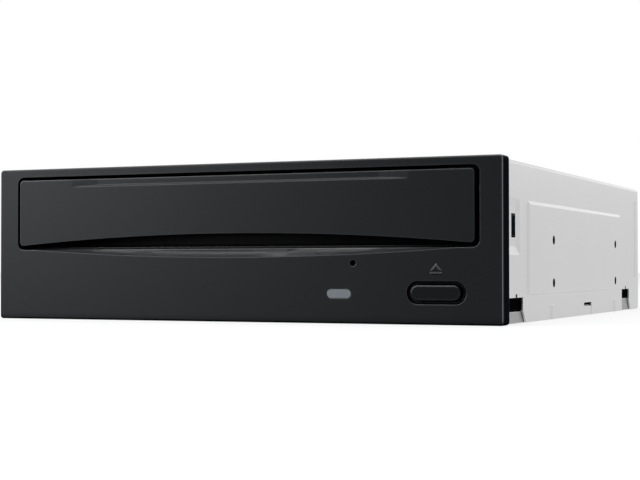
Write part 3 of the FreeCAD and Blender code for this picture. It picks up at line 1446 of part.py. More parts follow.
def clamp_bridge():
    """Plate across the frame with folded edges and the clamper's hole."""
    low, high = S.frame_top, S.frame_top + S.bridge_t
    front, rear = S.bridge_front, S.bridge_rear
    added = [block("bridge_plate", (-frame_half, frame_half), (front, rear), (low, high))]
    span = bridge_boss_in - 1
    for ys in ((front, front + S.bridge_t), (rear - S.bridge_t, rear)):
        added.append(block("bridge_fold", (-span, span), ys, (low - S.bridge_flange, high)))
    ring = cut("bridge_ring", rod("ring_out", 0, S.disc_y, low, S.clamper_flange_r - 0.5, S.bridge_t),
               rod("ring_in", 0, S.disc_y, low - 1, S.bridge_hole_r, 4))
    added.append(ring)
    removed = [rod("bridge_hole", 0, S.disc_y, low - 1, S.bridge_hole_r, 4)]
    for side in (-1, 1):
        for y in bridge_screw_ys():
            removed.append(rod("bridge_screw_way", side * bridge_screw_x, y, low - 1,
                               S.board_screw_r + S.run_gap, 4))
        window = either(side, S.bridge_rib_r + 4, span - 6)
        removed.append(block("bridge_window", window, (front + 8, rear - 8), (low - 1, high + 1)))
    piece("clamp_bridge", cut("bridge", fuse("bridge_solid", *added), *removed))


def bridge_screws():
    top = S.frame_top + S.bridge_t
    screws = []
    for side in (-1, 1):
        for y in bridge_screw_ys():
            x = side * bridge_screw_x
            screws.append(rod("head", x, y, top, S.board_head_r, S.board_head_h))
            screws.append(rod("shank", x, y, top - S.bridge_screw_len, S.board_screw_r, S.bridge_screw_len + S.run_gap))
    piece("bridge_screws", fuse("bridge_screw_set", *screws))


def clamper():
    """Round clamp that hangs by its flange and holds a disc on the turntable."""
    flange_low = S.frame_top + S.bridge_t + 2 * S.run_gap
    top = flange_low + S.clamper_flange_t
    added = [rod("clamper_body", 0, S.disc_y, S.clamper_low, S.clamper_r, top - S.clamper_low),
             rod("clamper_flange", 0, S.disc_y, flange_low, S.clamper_flange_r, S.clamper_flange_t)]
    removed = [cone("clamper_recess", 0, S.disc_y, S.clamper_low, S.clamper_recess_r, S.clamper_recess_top_r,
                    S.clamper_recess_h),
               rod("magnet_seat", 0, S.disc_y, top - S.magnet_t, S.magnet_r, S.magnet_t)]
    piece("clamper", cut("clamper_cut", fuse("clamper_solid", *added), *removed))
    piece("clamper_magnet", cut("magnet", rod("magnet_disc", 0, S.disc_y, top - S.magnet_t, S.magnet_r, S.magnet_t),
                                rod("magnet_bore", 0, S.disc_y, top - S.magnet_t - 1, S.shaft_r, S.magnet_t + 2)))


# ---------------------------------------------------------------- traverse

def damper_places():
    return [(-S.damper_front_x, S.damper_front_y), (S.damper_front_x, S.damper_front_y),
            (-damper_rear_x, damper_rear_y), (damper_rear_x, damper_rear_y)]


def traverse_holder():
    """Swinging frame: rim, damper pads, lift pins in front and pivot pins behind."""
    half, wall, low, top = holder_half, S.holder_wall, S.holder_low, S.holder_top
    outer = block("holder_outer", (-half, half), (S.holder_front, holder_rear), (low, top))
    inner = block("holder_inner", (wall - half, half - wall),
                  (S.holder_front + S.holder_front_wall, holder_rear - S.holder_front_wall), (low - 1, top + 1))
    rim = cut("holder_rim", outer, inner)
    added = [rim]
    for x, y in damper_places():
        edge = S.holder_front if num(y) < 100 else holder_rear
        near, far = (edge, y + S.pad_half) if num(y) < 100 else (y - S.pad_half, edge)
        xs = (x - S.pad_half, x + S.pad_half)
        added.append(block("pad", xs, (near, far), (low, S.pad_top)))
    for x in (S.cam_pin_left, S.cam_pin_right):
        added.append(rod("lift_pin", x, S.cam_front + S.fit_gap, S.cam_pin_z, S.cam_pin_r,
                         S.holder_front - S.cam_front + 1, "Y"))
    for side in (-1, 1):
        added.append(block("arm", either(side, arm_in, half), (holder_rear - 2, arm_rear), (low, S.arm_top)))
        pin = either(side, half - 1, half + S.socket_t)
        added.append(rod("pivot_pin", pin[0], pivot_y, S.pivot_z, S.pivot_r, pin[1] - pin[0], "X"))
    bores = [rod("pad_bore", x, y, low - 1, S.damper_screw_r, S.pad_top - low + 2) for x, y in damper_places()]
    piece("traverse_holder", lowered(cut("holder", fuse("holder_solid", *added), *bores)))


def dampers():
    rings = []
    for x, y in damper_places():
        rings.append(rod("damper_ring", x, y, S.pad_top, S.damper_r, S.chassis_low - S.pad_top))
    bores = [rod("damper_bore", x, y, S.pad_top - 1, S.damper_screw_r, S.chassis_low - S.pad_top + 2)
             for x, y in damper_places()]
    waists = []
    middle = (S.pad_top + S.chassis_low) / 2
    for x, y in damper_places():
        waists.append(cut("waist", rod("waist_out", x, y, middle - 0.8, S.damper_r + 1, S.pulley_lip_t * 2),
                          rod("waist_in", x, y, middle - 2, S.damper_r - 0.8, 4)))
    piece("dampers", lowered(cut("damper_set", fuse("damper_rings", *rings), *(bores + waists))))


def damper_screws():
    top = S.chassis_low + S.chassis_t
    screws = []
    for x, y in damper_places():
        screws.append(rod("head", x, y, top, S.damper_head_r, S.damper_head_h))
        screws.append(rod("shank", x, y, S.holder_low, S.damper_screw_r, top - S.holder_low + 0.1))
    piece("damper_screws", lowered(fuse("damper_screw_set", *screws)))


def traverse_chassis():
    """Metal plate that carries the spindle, the guide rods and the sled drive."""
    low, high = S.chassis_low, S.chassis_low + S.chassis_t
    body = new_body("chassis_plate")
    outline = sketch(body, "XY", low, "chassis_outline")
    rounded(outline, (-S.chassis_half, S.chassis_half), (S.chassis_front, chassis_rear), S.tray_corner)
    pad(body, outline, S.chassis_t, "chassis_pad")
    window = sketch(body, "XY", low, "chassis_window")
    rounded(window, (-S.chassis_window_half, S.chassis_window_half),
            (S.chassis_window_front, chassis_window_rear), S.mouth_corner)
    pocket(body, window, S.chassis_t, "window_pocket", reverse=True)
    stepper_x = screw_x + S.stepper_r
    removed = [block("stepper_notch", (-S.chassis_half - 1, stepper_x + S.fit_gap),
                     (S.stepper_front - S.fit_gap, S.stepper_rear + S.fit_gap), (low - 1, high + 1)),
               rod("spindle_way", 0, S.disc_y, low - 1, S.shaft_r + 2, S.chassis_t + 2)]
    added = [body]
    for side in (-1, 1):
        xs = either(side, S.chassis_window_half, S.chassis_window_half + S.chassis_t)
        added.append(block("chassis_fold", xs, (S.chassis_window_front + 4, chassis_window_rear),
                           (low, high + S.chassis_t)))
    for x, y in damper_places():
        removed.append(rod("chassis_bore", x, y, low - 1, S.damper_screw_r, S.chassis_t + 2))
    piece("traverse_chassis", lowered(cut("chassis", fuse("chassis_solid", *added), *removed)))


def guide_rods():
    rods = [rod("guide_rod", side * rail_x, S.rail_front_y, S.rail_z, S.rail_r, rail_rear_y - S.rail_front_y, "Y")
            for side in (-1, 1)]
    piece("guide_rods", lowered(fuse("guide_rod_pair", *rods)))


def rod_clips():
    """Four blocks under the chassis that hold the ends of the guide rods."""
    blocks, bores = [], []
    for side in (-1, 1):
        x = side * rail_x
        for y in (S.rail_front_y, rail_rear_y - S.clip_len):
            blocks.append(block("clip", (x - S.clip_half, x + S.clip_half), (y, y + S.clip_len),
                                (S.rail_z - S.clip_drop, S.chassis_low)))
            bores.append(rod("clip_bore", x, y - 1, S.rail_z, S.rail_r, S.clip_len + 2, "Y"))
    piece("rod_clips", lowered(cut("clip_set", fuse("clip_blocks", *blocks), *bores)))


def spindle():
    """Motor plate with stator, and the turning can, turntable, rubber ring and centring cone."""
    top = S.chassis_low + S.chassis_t
    plate_top = top + S.spindle_plate_t
    h = S.spindle_plate_half
    plate = block("motor_plate", (-h, h), (S.disc_y - h + 2, S.disc_y + S.turntable_r - 1.6), (top, plate_top))
    stator = rod("stator", 0, S.disc_y, top, S.stator_r, S.stator_h)
    way = rod("stator_bore", 0, S.disc_y, top - 1, S.shaft_r + S.run_gap, S.stator_h + 3)
    piece("spindle_base", lowered(cut("spindle_base_body", fuse("spindle_base_solid", plate, stator), way)))
    can = cut("rotor_can", rod("rotor_out", 0, S.disc_y, S.rotor_low, S.rotor_r, S.rotor_high - S.rotor_low),
              rod("rotor_in", 0, S.disc_y, S.rotor_low - 1, S.rotor_r - S.rotor_wall,
                  S.rotor_high - S.rotor_low + 1 - S.rotor_wall))
    shaft = rod("spindle_shaft", 0, S.disc_y, top, S.shaft_r, S.rotor_high - top)
    piece("spindle_rotor", lowered(fuse("rotor", can, shaft)))
    table_low = S.rotor_high
    table = rod("table", 0, S.disc_y, table_low, S.turntable_r, S.disc_seat - table_low)
    ring_seat = cut("ring_seat", rod("seat_out", 0, S.disc_y, S.disc_seat - S.rubber_t, S.rubber_out, 2),
                    rod("seat_in", 0, S.disc_y, S.disc_seat - 2, S.rubber_in, 4))
    piece("turntable", lowered(cut("turntable_body", table, ring_seat)))
    piece("grip_ring", lowered(cut("grip_ring_body",
                                   rod("grip_out", 0, S.disc_y, S.disc_seat - S.rubber_t, S.rubber_out, S.rubber_t),
                                   rod("grip_in", 0, S.disc_y, S.disc_seat - 2, S.rubber_in, 4))))
    hub = cone("cone_side", 0, S.disc_y, S.disc_seat, S.cone_low_r, S.cone_top_r, S.cone_h)
    dish = rod("cone_dish", 0, S.disc_y, S.disc_seat + S.cone_h - 0.6, S.cone_hub_r, 2)
    piece("centring_cone", lowered(cut("centring_cone_body", hub, dish)))


def sled():
    """Pickup body on the guide rods, with its bearings, ribs and the tower through the chassis."""
    low, high = S.sled_low, S.sled_high
    front, rear = S.sled_front, S.sled_rear
    tower = (S.lens_y - S.actuator_front, S.lens_y + S.actuator_rear)
    added = [block("sled_body", (-sled_half, sled_half), (front, rear), (low, high)),
             block("sled_tower", (-S.tower_half, S.tower_half), tower, (high - 1, S.tower_high))]
    removed = []
    for side in (-1, 1):
        removed.append(rod("sled_bore", side * rail_x, front - 1, S.rail_z, S.rail_r + S.run_gap,
                           rear - front + 2, "Y"))
        xs = either(side, S.tower_half + 1, rail_x - S.rail_r - 1.5)
        removed.append(block("sled_pocket", xs, (front + 2, rear - 2), (low + S.sled_floor, high + 1)))
        corner = either(side, rail_x - 5, sled_half + 1)
        removed.append(block("bearing_gap", corner, (front + 7, rear - 7), (low - 1, high + 1)))
    piece("sled", lowered(cut("sled_cut", fuse("sled_solid", *added), *removed)))

    half, wall = S.actuator_half, S.actuator_wall
    ys = tower
    box = block("actuator_box", (-half, half), ys, (S.tower_high, S.actuator_high))
    inside = block("actuator_inside", (wall - half, half - wall), (ys[0] + wall, ys[1] - wall),
                   (S.tower_high + wall, S.actuator_high + 1))
    post = block("wire_post", (-S.lens_holder_half, S.lens_holder_half), (ys[1] - 3 * wall, ys[1]),
                 (S.tower_high, S.actuator_high - S.lens_gap))
    piece("actuator_frame", lowered(fuse("actuator", cut("actuator_open", box, inside), post)))

    hold = S.lens_holder_half
    holder_ys = (S.lens_y - hold, ys[1] - 3 * wall - S.lens_gap)
    body = block("lens_block", (-hold, hold), holder_ys, (S.lens_holder_low, S.lens_holder_top))
    coil = block("lens_coil", (lens_wing(), -lens_wing()), (S.lens_y - 2, S.lens_y + 2),
                 (S.lens_holder_low + 0.6, S.lens_holder_top - 0.6))
    seat = rod("lens_seat", 0, S.lens_y, S.lens_holder_top - 0.8, S.lens_r, 2)
    way = rod("lens_way", 0, S.lens_y, S.lens_holder_low - 1, S.lens_r - 0.6, 6)
    piece("lens_holder", lowered(cut("lens_holder_body", fuse("lens_holder_solid", body, coil), seat, way)))
    rim = rod("lens_rim", 0, S.lens_y, S.lens_holder_top - 0.8, S.lens_r, 0.8)
    ball_r = (S.lens_r * S.lens_r + S.lens_rise * S.lens_rise) / (2 * S.lens_rise)
    ball = doc.addObject("Part::Sphere", "lens_ball")
    bind(ball, "Radius", ball_r)
    place(ball, 0 * ball_r, S.lens_y, S.lens_holder_top + S.lens_rise - ball_r)
    cap = doc.addObject("Part::Common", "lens_cap")
    cap.Base = ball
    cap.Tool = block("lens_above", (-S.lens_r - 1, S.lens_r + 1), (S.lens_y - S.lens_r - 1, S.lens_y + S.lens_r + 1),
                     (S.lens_holder_top, S.lens_holder_top + S.lens_rise + 1))
    piece("lens", lowered(fuse("lens_body", rim, cap)))


def lens_wing():
    """The focus coils reach to just inside the actuator's walls."""
    return -(S.actuator_half - S.actuator_wall - S.lens_gap)


def sled_drive():
    """Stepper motor, lead screw, its bracket and the sled's follower."""
    x, z = screw_x, S.screw_z
    can = rod("stepper_can", x, S.stepper_front, z, S.stepper_r, S.stepper_rear - S.stepper_front, "Y")
    bore = rod("stepper_bore", x, S.screw_front - 0.1, z, S.screw_rod_r + S.run_gap, 14, "Y")
    tabs = block("stepper_tabs", (x - S.stepper_r, x + S.stepper_r), (S.stepper_rear - 1, S.stepper_rear),
                 (z - 2, z + 2))
    piece("stepper_motor", lowered(cut("stepper", fuse("stepper_solid", can, tabs), bore)))
    w, t = S.screw_bracket_w / 2, S.screw_bracket_t
    strip = block("bracket_strip", (x - w, x + w), (S.stepper_rear, screw_bracket_rear),
                  (S.chassis_low - t, S.chassis_low))
    ears = [block("bracket_front", (x - w, x + w), (S.stepper_rear, S.stepper_rear + t),
                  (z - w, S.chassis_low)),
            block("bracket_rear", (x - w, x + w), (screw_bracket_rear - 2 * t, screw_bracket_rear),
                  (z - w, S.chassis_low))]
    way = rod("bracket_bore", x, S.stepper_rear - 1, z, S.screw_rod_r + S.run_gap,
              screw_bracket_rear - S.stepper_rear + 2, "Y")
    piece("screw_bracket", lowered(cut("bracket", fuse("bracket_solid", strip, *ears), way)))
    piece("lead_screw", lowered(fuse("lead_screw_body", rod("screw_rod", x, S.screw_front, z, S.screw_rod_r,
                                                            screw_rear - S.screw_front, "Y"),
                                     rod("screw_collar", x, S.stepper_rear + t + 2 * S.run_gap, z,
                                         S.screw_rod_r + 0.7, t, "Y"))))
    half = S.follower_half
    nut = block("follower_nut", (x - half, x + half), (S.lens_y - half, S.lens_y + half),
                (z - half, z + half - S.plate_gap * 4))
    arm = block("follower_arm", (x, -sled_half), (S.lens_y - half, S.lens_y + half),
                (z - half, z - half + S.board_head_h * 1.2))
    reach = block("follower_foot", (-sled_half - 1, -sled_half), (S.lens_y - half, S.lens_y + half),
                  (z - half, z + 1))
    hole = rod("follower_bore", x, S.lens_y - 10, z, S.screw_rod_r + S.follower_gap, 20, "Y")
    piece("screw_follower", lowered(cut("follower", fuse("follower_solid", nut, arm, reach), hole)))


# ---------------------------------------------------------------- electronics

def front_electronics():
    """Small board behind the bezel with the switch and the activity light."""
    z = S.front_board_z
    top = z + S.board_t
    board = block("front_board_plate", (front_board_left, front_board_right),
                  (S.front_board_front, S.front_board_rear), (z, top))
    hole = rod("front_board_hole", board_screw_x, S.board_screw_y, z - 1, S.board_screw_r + S.run_gap, 4)
    piece("front_board", cut("front_board_body", board, hole))
    w = S.switch_w / 2
    case = block("switch_case", (button_x - w, button_x + w), (S.switch_front, S.switch_rear),
                 (top, top + S.switch_h))
    way = rod("switch_way", button_x, S.switch_front - 1, S.button_z, S.plunger_r + S.run_gap,
              1 + S.plunger_in + S.button_travel, "Y")
    piece("tact_switch", cut("switch_body", case, way))
    piece("switch_plunger", rod("plunger", button_x, switch_tip, S.button_z, S.plunger_r,
                                S.switch_front + S.plunger_in - switch_tip - S.run_gap, "Y"))
    w = S.led_w / 2
    piece("activity_light", block("light_case", (S.light_x - w, S.light_x + w), (S.led_front, S.led_rear),
                                  (top, top + S.led_h)))


def main_electronics():
    """Main board with its chips, capacitors, cable sockets and the rear connectors."""
    z = S.main_board_z
    top = z + S.board_t
    half = main_board_half
    board = block("main_board_plate", (-half, half), (main_board_front, main_board_rear), (z, top))
    holes = [rod("main_board_hole", side * main_screw_x, main_screw_y, z - 1, S.board_screw_r + S.run_gap, 4)
             for side in (-1, 1)]
    piece("main_board", cut("main_board_body", board, *holes))
    for label, x, y, w, d in (("main_chip", S.chip_x, chip_y, S.chip_side, S.chip_side),
                              ("driver_chip", driver_x, driver_y, S.driver_side, S.driver_side),
                              ("memory_chip", S.memory_x, memory_y, S.memory_w, S.memory_l)):
        piece(label, block(label + "_case", (x - w / 2, x + w / 2), (y - d / 2, y + d / 2), (top, top + S.chip_t)))
    caps = [rod("cap", cap_x + i * S.cap_pitch, cap_y, top, S.cap_r, S.cap_h) for i in (-1, 0, 1)]
    piece("capacitors", fuse("capacitor_set", *caps))
    sockets = []
    for i in (0, 1, 2):
        x = ribbon_x - i * S.socket_pitch
        sockets.append(block("cable_socket", (x - S.socket_w / 2, x + S.socket_w / 2),
                             (main_board_front + 1, main_board_front + 1 + S.socket_l), (top, top + S.socket_h)))
    front_top = S.front_board_z + S.board_t
    x = ribbon_x
    sockets.append(block("front_socket", (x - S.ribbon_w / 2 - 1, x + S.ribbon_w / 2 + 1),
                         (S.front_board_rear - S.socket_l, S.front_board_rear), (front_top, front_top + S.socket_h)))
    piece("cable_sockets", fuse("cable_socket_set", *sockets))


def front_cable():
    """Flat cable from the front board, under the traverse and up to the main board."""
    x, t, w = num(ribbon_x), num(S.ribbon_t), num(S.ribbon_w)
    start = num(S.front_board_rear + front_y)
    end = num(main_board_front + 1 + front_y)
    high = num(S.front_board_z + S.board_t + S.socket_h / 2)
    far = num(S.main_board_z + S.board_t + S.socket_h / 2)
    low = num(S.ribbon_low)
    path = [(start, high), (start + 2, high), (start + 8, low), (end - 8, low), (end - 3, far), (end, far)]
    upper = [V(x - w / 2, y, z + t) for y, z in path]
    lower = [V(x - w / 2, y, z) for y, z in reversed(path)]
    points = upper + lower
    obj = doc.addObject("Part::Feature", "ribbon")
    obj.Shape = Part.Face(Part.makePolygon(points + [points[0]])).extrude(V(w, 0, 0))
    piece("front_cable", obj)


def rear_plug(label, left, width):
    """Open shell with an L-shaped contact tongue, as on a serial drive connector."""
    low = S.main_board_z + S.board_t
    high, wall = low + S.plug_h, S.plug_wall
    shell = block(label + "_shell", (left, left + width), (plug_front, plug_rear), (low, high))
    hollow = block(label + "_hollow", (left + wall, left + width - wall),
                   (plug_rear - S.plug_depth, plug_rear + 1), (low + wall, high - wall))
    middle = (low + high) / 2
    tongue = block(label + "_tongue", (left + wall + S.key_short, left + width - wall - S.key_short),
                   (plug_rear - S.plug_depth - 1, plug_rear - 1), (middle - S.key_t / 2, middle + S.key_t / 2))
    key = block(label + "_key", (left + wall + S.key_short, left + wall + S.key_short + S.key_t),
                (plug_rear - S.plug_depth - 1, plug_rear - 1), (middle - S.key_t / 2, high - wall - 0.4))
    piece(label, fuse(label + "_body", cut(label + "_open", shell, hollow), tongue, key))


def board_screws():
    """Screws that hold both boards up against the frame."""
    screws = []
    for x, y, low in ((board_screw_x, S.board_screw_y, S.front_board_z),
                      (-main_screw_x, main_screw_y, S.main_board_z),
                      (main_screw_x, main_screw_y, S.main_board_z)):
        screws.append(rod("head", x, y, low - S.board_head_h, S.board_head_r, S.board_head_h))
        screws.append(rod("shank", x, y, low - S.board_head_h, S.board_screw_r, S.board_head_h + S.board_t + S.board_screw_bite))
    piece("board_screws", fuse("board_screw_set", *screws))


def build():
    front_bezel()
    tray_door()
    eject_button()
    light_pipe()
    top_cover()
    bottom_plate()
    case_screws()
    main_frame()
    disc_tray()
    drive_gear()
    pulley_gear()
    motor_pulley()
    drive_belt()
    loading_motor()
    motor_screws()
    cam_slider()
    clamp_bridge()
    bridge_screws()
    clamper()
    traverse_holder()
    traverse_chassis()
    dampers()
    damper_screws()
    guide_rods()
    rod_clips()
    spindle()
    sled()
    sled_drive()
    front_electronics()
    main_electronics()
    front_cable()
    rear_plug("power_connector", power_left, S.power_w)
    rear_plug("data_connector", data_left, S.data_w)
    board_screws()
    doc.recompute()


def check():
    for obj in doc.Objects:
        if "Invalid" in obj.State or "Error" in obj.State:
            raise ValueError("%s (%s) failed: %s" % (obj.Name, obj.Label, obj.State))
    for obj in PIECES:
        if obj.Shape.isNull() or not obj.Shape.isValid() or obj.Shape.Volume <= 0:
            raise ValueError("%s has no valid solid" % obj.Label)


def export():
    os.makedirs("parts", exist_ok=True)
    for obj in PIECES:
        obj.Shape.exportStep(os.path.join("parts", obj.Label + ".step"))
        print("%-18s %3d solids %9.1f mm3" % (obj.Label, len(obj.Shape.Solids), obj.Shape.Volume))


build()
check()
export()
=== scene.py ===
# %% [markdown]
# # A half-height disc writer, dressed for a portrait
# The drive is a black moulded front on a folded steel case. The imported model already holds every
# solid part in its right place, in metres, so this lesson only adds what a solid modeller leaves
# out: surface finishes, the raised eject sign, cross recesses in the screws, threads, contacts, legs
# and small board parts. Loading the frame first means that nothing here has to guess a size.

# %% Load the frame and note the size of the solids
import json
import math
import random
import bmesh
import bpy
from mathutils import Matrix, Vector


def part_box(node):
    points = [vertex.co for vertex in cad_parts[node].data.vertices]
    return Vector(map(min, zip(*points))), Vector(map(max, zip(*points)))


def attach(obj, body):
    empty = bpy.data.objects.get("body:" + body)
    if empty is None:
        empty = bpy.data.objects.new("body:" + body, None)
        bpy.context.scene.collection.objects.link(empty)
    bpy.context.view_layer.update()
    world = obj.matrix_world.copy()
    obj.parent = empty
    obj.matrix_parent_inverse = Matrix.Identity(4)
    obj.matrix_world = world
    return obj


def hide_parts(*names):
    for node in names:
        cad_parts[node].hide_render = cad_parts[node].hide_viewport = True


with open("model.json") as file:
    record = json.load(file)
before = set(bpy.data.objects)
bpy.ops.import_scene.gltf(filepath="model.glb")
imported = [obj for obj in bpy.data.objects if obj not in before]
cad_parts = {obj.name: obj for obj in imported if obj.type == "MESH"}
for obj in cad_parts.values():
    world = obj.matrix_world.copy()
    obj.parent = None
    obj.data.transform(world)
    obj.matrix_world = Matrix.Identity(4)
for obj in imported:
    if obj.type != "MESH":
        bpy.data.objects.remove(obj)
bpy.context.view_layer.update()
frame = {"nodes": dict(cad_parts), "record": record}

NODES = frame["nodes"]
MM = 0.001
FRONT = -0.0845          # the bezel's front face stands here along Y
print("parts in the frame:", len(NODES))

# %% [markdown]
# ## The camera
# The photograph looks at the bezel from a little to the right, with the lens only 14 mm above the
# lower edge, so the floor is seen almost edge on. The lens length and the angles were fitted to the
# corners of the bezel and to the standard screw holes in the side.

# %% Camera at the photograph's angle
FOCAL_LENGTH, SENSOR_WIDTH = 81.962, 36.0             # millimetres
EYE = (175.16 * MM, -343.24 * MM + FRONT, 14.133 * MM)
TILT_UP, ROLL, TURN = 1.110, 0.030, 23.5996           # degrees

lens = bpy.data.cameras.new("portrait_camera")
lens.lens, lens.sensor_width = FOCAL_LENGTH, SENSOR_WIDTH
lens.clip_start, lens.clip_end = 0.01, 20.0
camera = bpy.data.objects.new("portrait_camera", lens)
camera.location = EYE
camera.rotation_euler = [math.radians(angle) for angle in (90 + TILT_UP, ROLL, TURN)]
bpy.context.scene.collection.objects.link(camera)
bpy.context.scene.camera = camera
print("lens", lens.lens, "mm at", [round(c, 4) for c in camera.location])

# %% [markdown]
# ## Building node trees
# The world, the floor and every finish are node trees, which take a line for each socket and each
# link. Small helpers shorten that: a node takes its sockets as a table, and each of them is linked or
# given a number, whichever its value asks for.


# %% Helpers for node trees
def feed(tree, socket, value):
    """Link a socket to another node's output, or give it a constant."""
    if isinstance(value, bpy.types.NodeSocket):
        tree.links.new(value, socket)
    else:
        socket.default_value = value


def node(tree, kind, sockets=None, **settings):
    """A new node with its settings made and its sockets, by name or number, fed."""
    made = tree.nodes.new(kind)
    for label, value in settings.items():
        setattr(made, label, value)
    for socket, value in (sockets or {}).items():
        feed(tree, made.inputs[socket], value)
    return made


def math_node(tree, operation, first, second=0.5, clamp=False):
    made = node(tree, "ShaderNodeMath", {0: first, 1: second}, operation=operation, use_clamp=clamp)
    return made.outputs[0]


def times(tree, first, second, clamp=False):
    return math_node(tree, "MULTIPLY", first, second, clamp)


print("node helpers ready")

# %% [markdown]
# ## Studio
# A product shot on white: a pale floor, a white world and five soft lamps. The white that the camera
# sees comes from Light Path in the world and the floor, not from stronger lamps, so the black plastic
# stays black. The key lamp stands in front on the left, because in the photograph the left end of the
# bezel shines a little and the right end does not.


# %% World: white to the camera and in reflections, a softer grey as light
def white_rays(tree):
    """1 for camera, glossy and transmission rays, 0 for the light that falls on surfaces."""
    path = node(tree, "ShaderNodeLightPath").outputs
    first = math_node(tree, "MAXIMUM", path["Is Camera Ray"], path["Is Glossy Ray"])
    return math_node(tree, "MAXIMUM", first, path["Is Transmission Ray"])


SEEN_STRENGTH, CAST_STRENGTH = 1.0, 0.55
world = bpy.data.worlds.new("white_studio")
bpy.context.scene.world = world
world.use_nodes = True
tree = world.node_tree
tree.nodes.clear()
seen = node(tree, "ShaderNodeBackground", {"Color": (1, 1, 1, 1), "Strength": SEEN_STRENGTH})
cast = node(tree, "ShaderNodeBackground", {"Color": (0.96, 0.98, 1, 1), "Strength": CAST_STRENGTH})
choose = node(tree, "ShaderNodeMixShader",
              {0: white_rays(tree), 1: cast.outputs[0], 2: seen.outputs[0]})
node(tree, "ShaderNodeOutputWorld", {"Surface": choose.outputs[0]})
bpy.context.scene.view_settings.view_transform = "Standard"
print("world nodes:", len(tree.nodes))


# %% Floor: white, keeping a share of the drive's own shadow
def studio_card(name, half_width, place):
    """A flat square card, set in place by a matrix."""
    mesh = bpy.data.meshes.new(name)
    bm = bmesh.new()
    bmesh.ops.create_grid(bm, x_segments=1, y_segments=1, size=half_width, matrix=place)
    bm.to_mesh(mesh)
    bm.free()
    made = bpy.data.objects.new(name, mesh)
    bpy.context.scene.collection.objects.link(made)
    return made


FLOOR_LEVEL = -0.00005   # a hair under the drive, so that no two faces lie in one plane
PAPER_GLOW = 0.72        # the share of the floor's white that no shadow darkens
floor = studio_card("studio_floor", 4.0, Matrix.Translation((0, 0, FLOOR_LEVEL)))
paper = bpy.data.materials.new("studio_paper")
paper.use_nodes = True
tree = paper.node_tree
tree.nodes.clear()
matt = node(tree, "ShaderNodeBsdfDiffuse", {"Color": (0.86, 0.86, 0.86, 1)})
glow = node(tree, "ShaderNodeEmission", {"Strength": 1.0})
share = times(tree, white_rays(tree), PAPER_GLOW)
blend = node(tree, "ShaderNodeMixShader", {0: share, 1: matt.outputs[0], 2: glow.outputs[0]})
node(tree, "ShaderNodeOutputMaterial", {"Surface": blend.outputs[0]})
floor.data.materials.append(paper)
print("floor:", [round(v, 2) for v in floor.dimensions])

# %% Lamps: each has a name, a place, what it looks at, its width and height, and its watts
LAMPS = [
    ("key_lamp", (-0.85, -0.98, 0.30), (-0.02, -0.02, 0.02), (0.5, 0.5), 8.0),
    ("side_lamp", (1.15, -0.15, 0.5), (0.05, 0, 0.02), (0.8, 0.6), 2.0),
    ("top_lamp", (0.1, 0.25, 1.1), (0, 0, 0.03), (0.9, 0.9), 4.0),
    ("brow_lamp", (-0.13, -0.85, 0.94), (0, -0.08, 0.02), (1.4, 0.3), 8.0),
    ("rim_lamp", (0.28, 1.45, 0.30), (0.07, 0.05, 0.02), (0.5, 0.3), 0.25),
]
for name, place, target, (width, height), watts in LAMPS:
    light = bpy.data.lights.new(name, "AREA")
    light.shape = "RECTANGLE"
    light.size, light.size_y, light.energy = width, height, watts
    lamp = bpy.data.objects.new(name, light)
    lamp.location = place
    lamp.rotation_euler = (Vector(target) - Vector(place)).to_track_quat("-Z", "Y").to_euler()
    bpy.context.scene.collection.objects.link(lamp)
print("lamps:", [row[0] for row in LAMPS])

# %% [markdown]
# A product photographer keeps stray white out of black plastic with a flag, a black card near the
# lens. Here it stands upright beyond the camera's place and a little to its left, where only the
# right half of the front mirrors it. The camera itself doesn't see it, so other views stay white.

# %% The flag: a black card that only reflections and light see
FLAG_PLACE = Matrix.Translation((-0.05, -1.35, 0.5)) @ Matrix.Rotation(math.radians(90), 4, "X")
flag = studio_card("studio_flag", 0.55, FLAG_PLACE)
flag.visible_camera = False
velvet = bpy.data.materials.new("studio_velvet")
velvet.use_nodes = True
nap = velvet.node_tree.nodes["Principled BSDF"]
nap.inputs["Base Color"].default_value = (0.01, 0.01, 0.01, 1)
nap.inputs["Roughness"].default_value = 0.9
flag.data.materials.append(velvet)
print("flag:", [round(v, 2) for v in flag.dimensions])

# %% [markdown]
# ## Shared effects
# Several finishes show the same things: a spark-eroded grain on mouldings, rubbed corners, a film of
# dust on what faces up, rolling marks on sheet steel and hairline scratches. Each is a node group with
# named inputs, so every material can place it with values of its own. Each puts out masks and values
# between 0 and 1.


# %% Helpers that start a node group, spread a range, and give noise
def effect(name, inputs, outputs):
    """A node group with its inputs' names and numbers, and the names of the values it puts out."""
    group = bpy.data.node_groups.new(name, "ShaderNodeTree")
    for label, value in inputs.items():
        socket = group.interface.new_socket(label, in_out="INPUT", socket_type="NodeSocketFloat")
        socket.default_value = value
    for label in outputs:
        group.interface.new_socket(label, in_out="OUTPUT", socket_type="NodeSocketFloat")
    return group, group.nodes.new("NodeGroupInput"), group.nodes.new("NodeGroupOutput")


def ramp(tree, value, low, high, to_low=0.0, to_high=1.0):
    """Spread what lies between low and high over to_low to to_high, and clamp the rest."""
    made = node(tree, "ShaderNodeMapRange", {"Value": value, "From Min": low, "From Max": high,
                                             "To Min": to_low, "To Max": to_high})
    return made.outputs["Result"]


def noise(tree, vector, scale, detail=2.0, roughness=0.5):
    made = node(tree, "ShaderNodeTexNoise", {"Vector": vector, "Scale": scale, "Detail": detail,
                                             "Roughness": roughness})
    return made.outputs[0]


print("effect helpers ready")

# %% Grain of a spark-eroded mould
group, start, end = effect("moulded_grain", {"Scale": 3000.0, "Cloud Scale": 60.0},
                           ("Height", "Tone"))
place = node(group, "ShaderNodeTexCoord").outputs["Object"]
feed(group, end.inputs["Height"], noise(group, place, start.outputs["Scale"], 3.0, 0.65))
feed(group, end.inputs["Tone"], noise(group, place, start.outputs["Cloud Scale"]))
moulded_grain = group
print("group:", group.name)


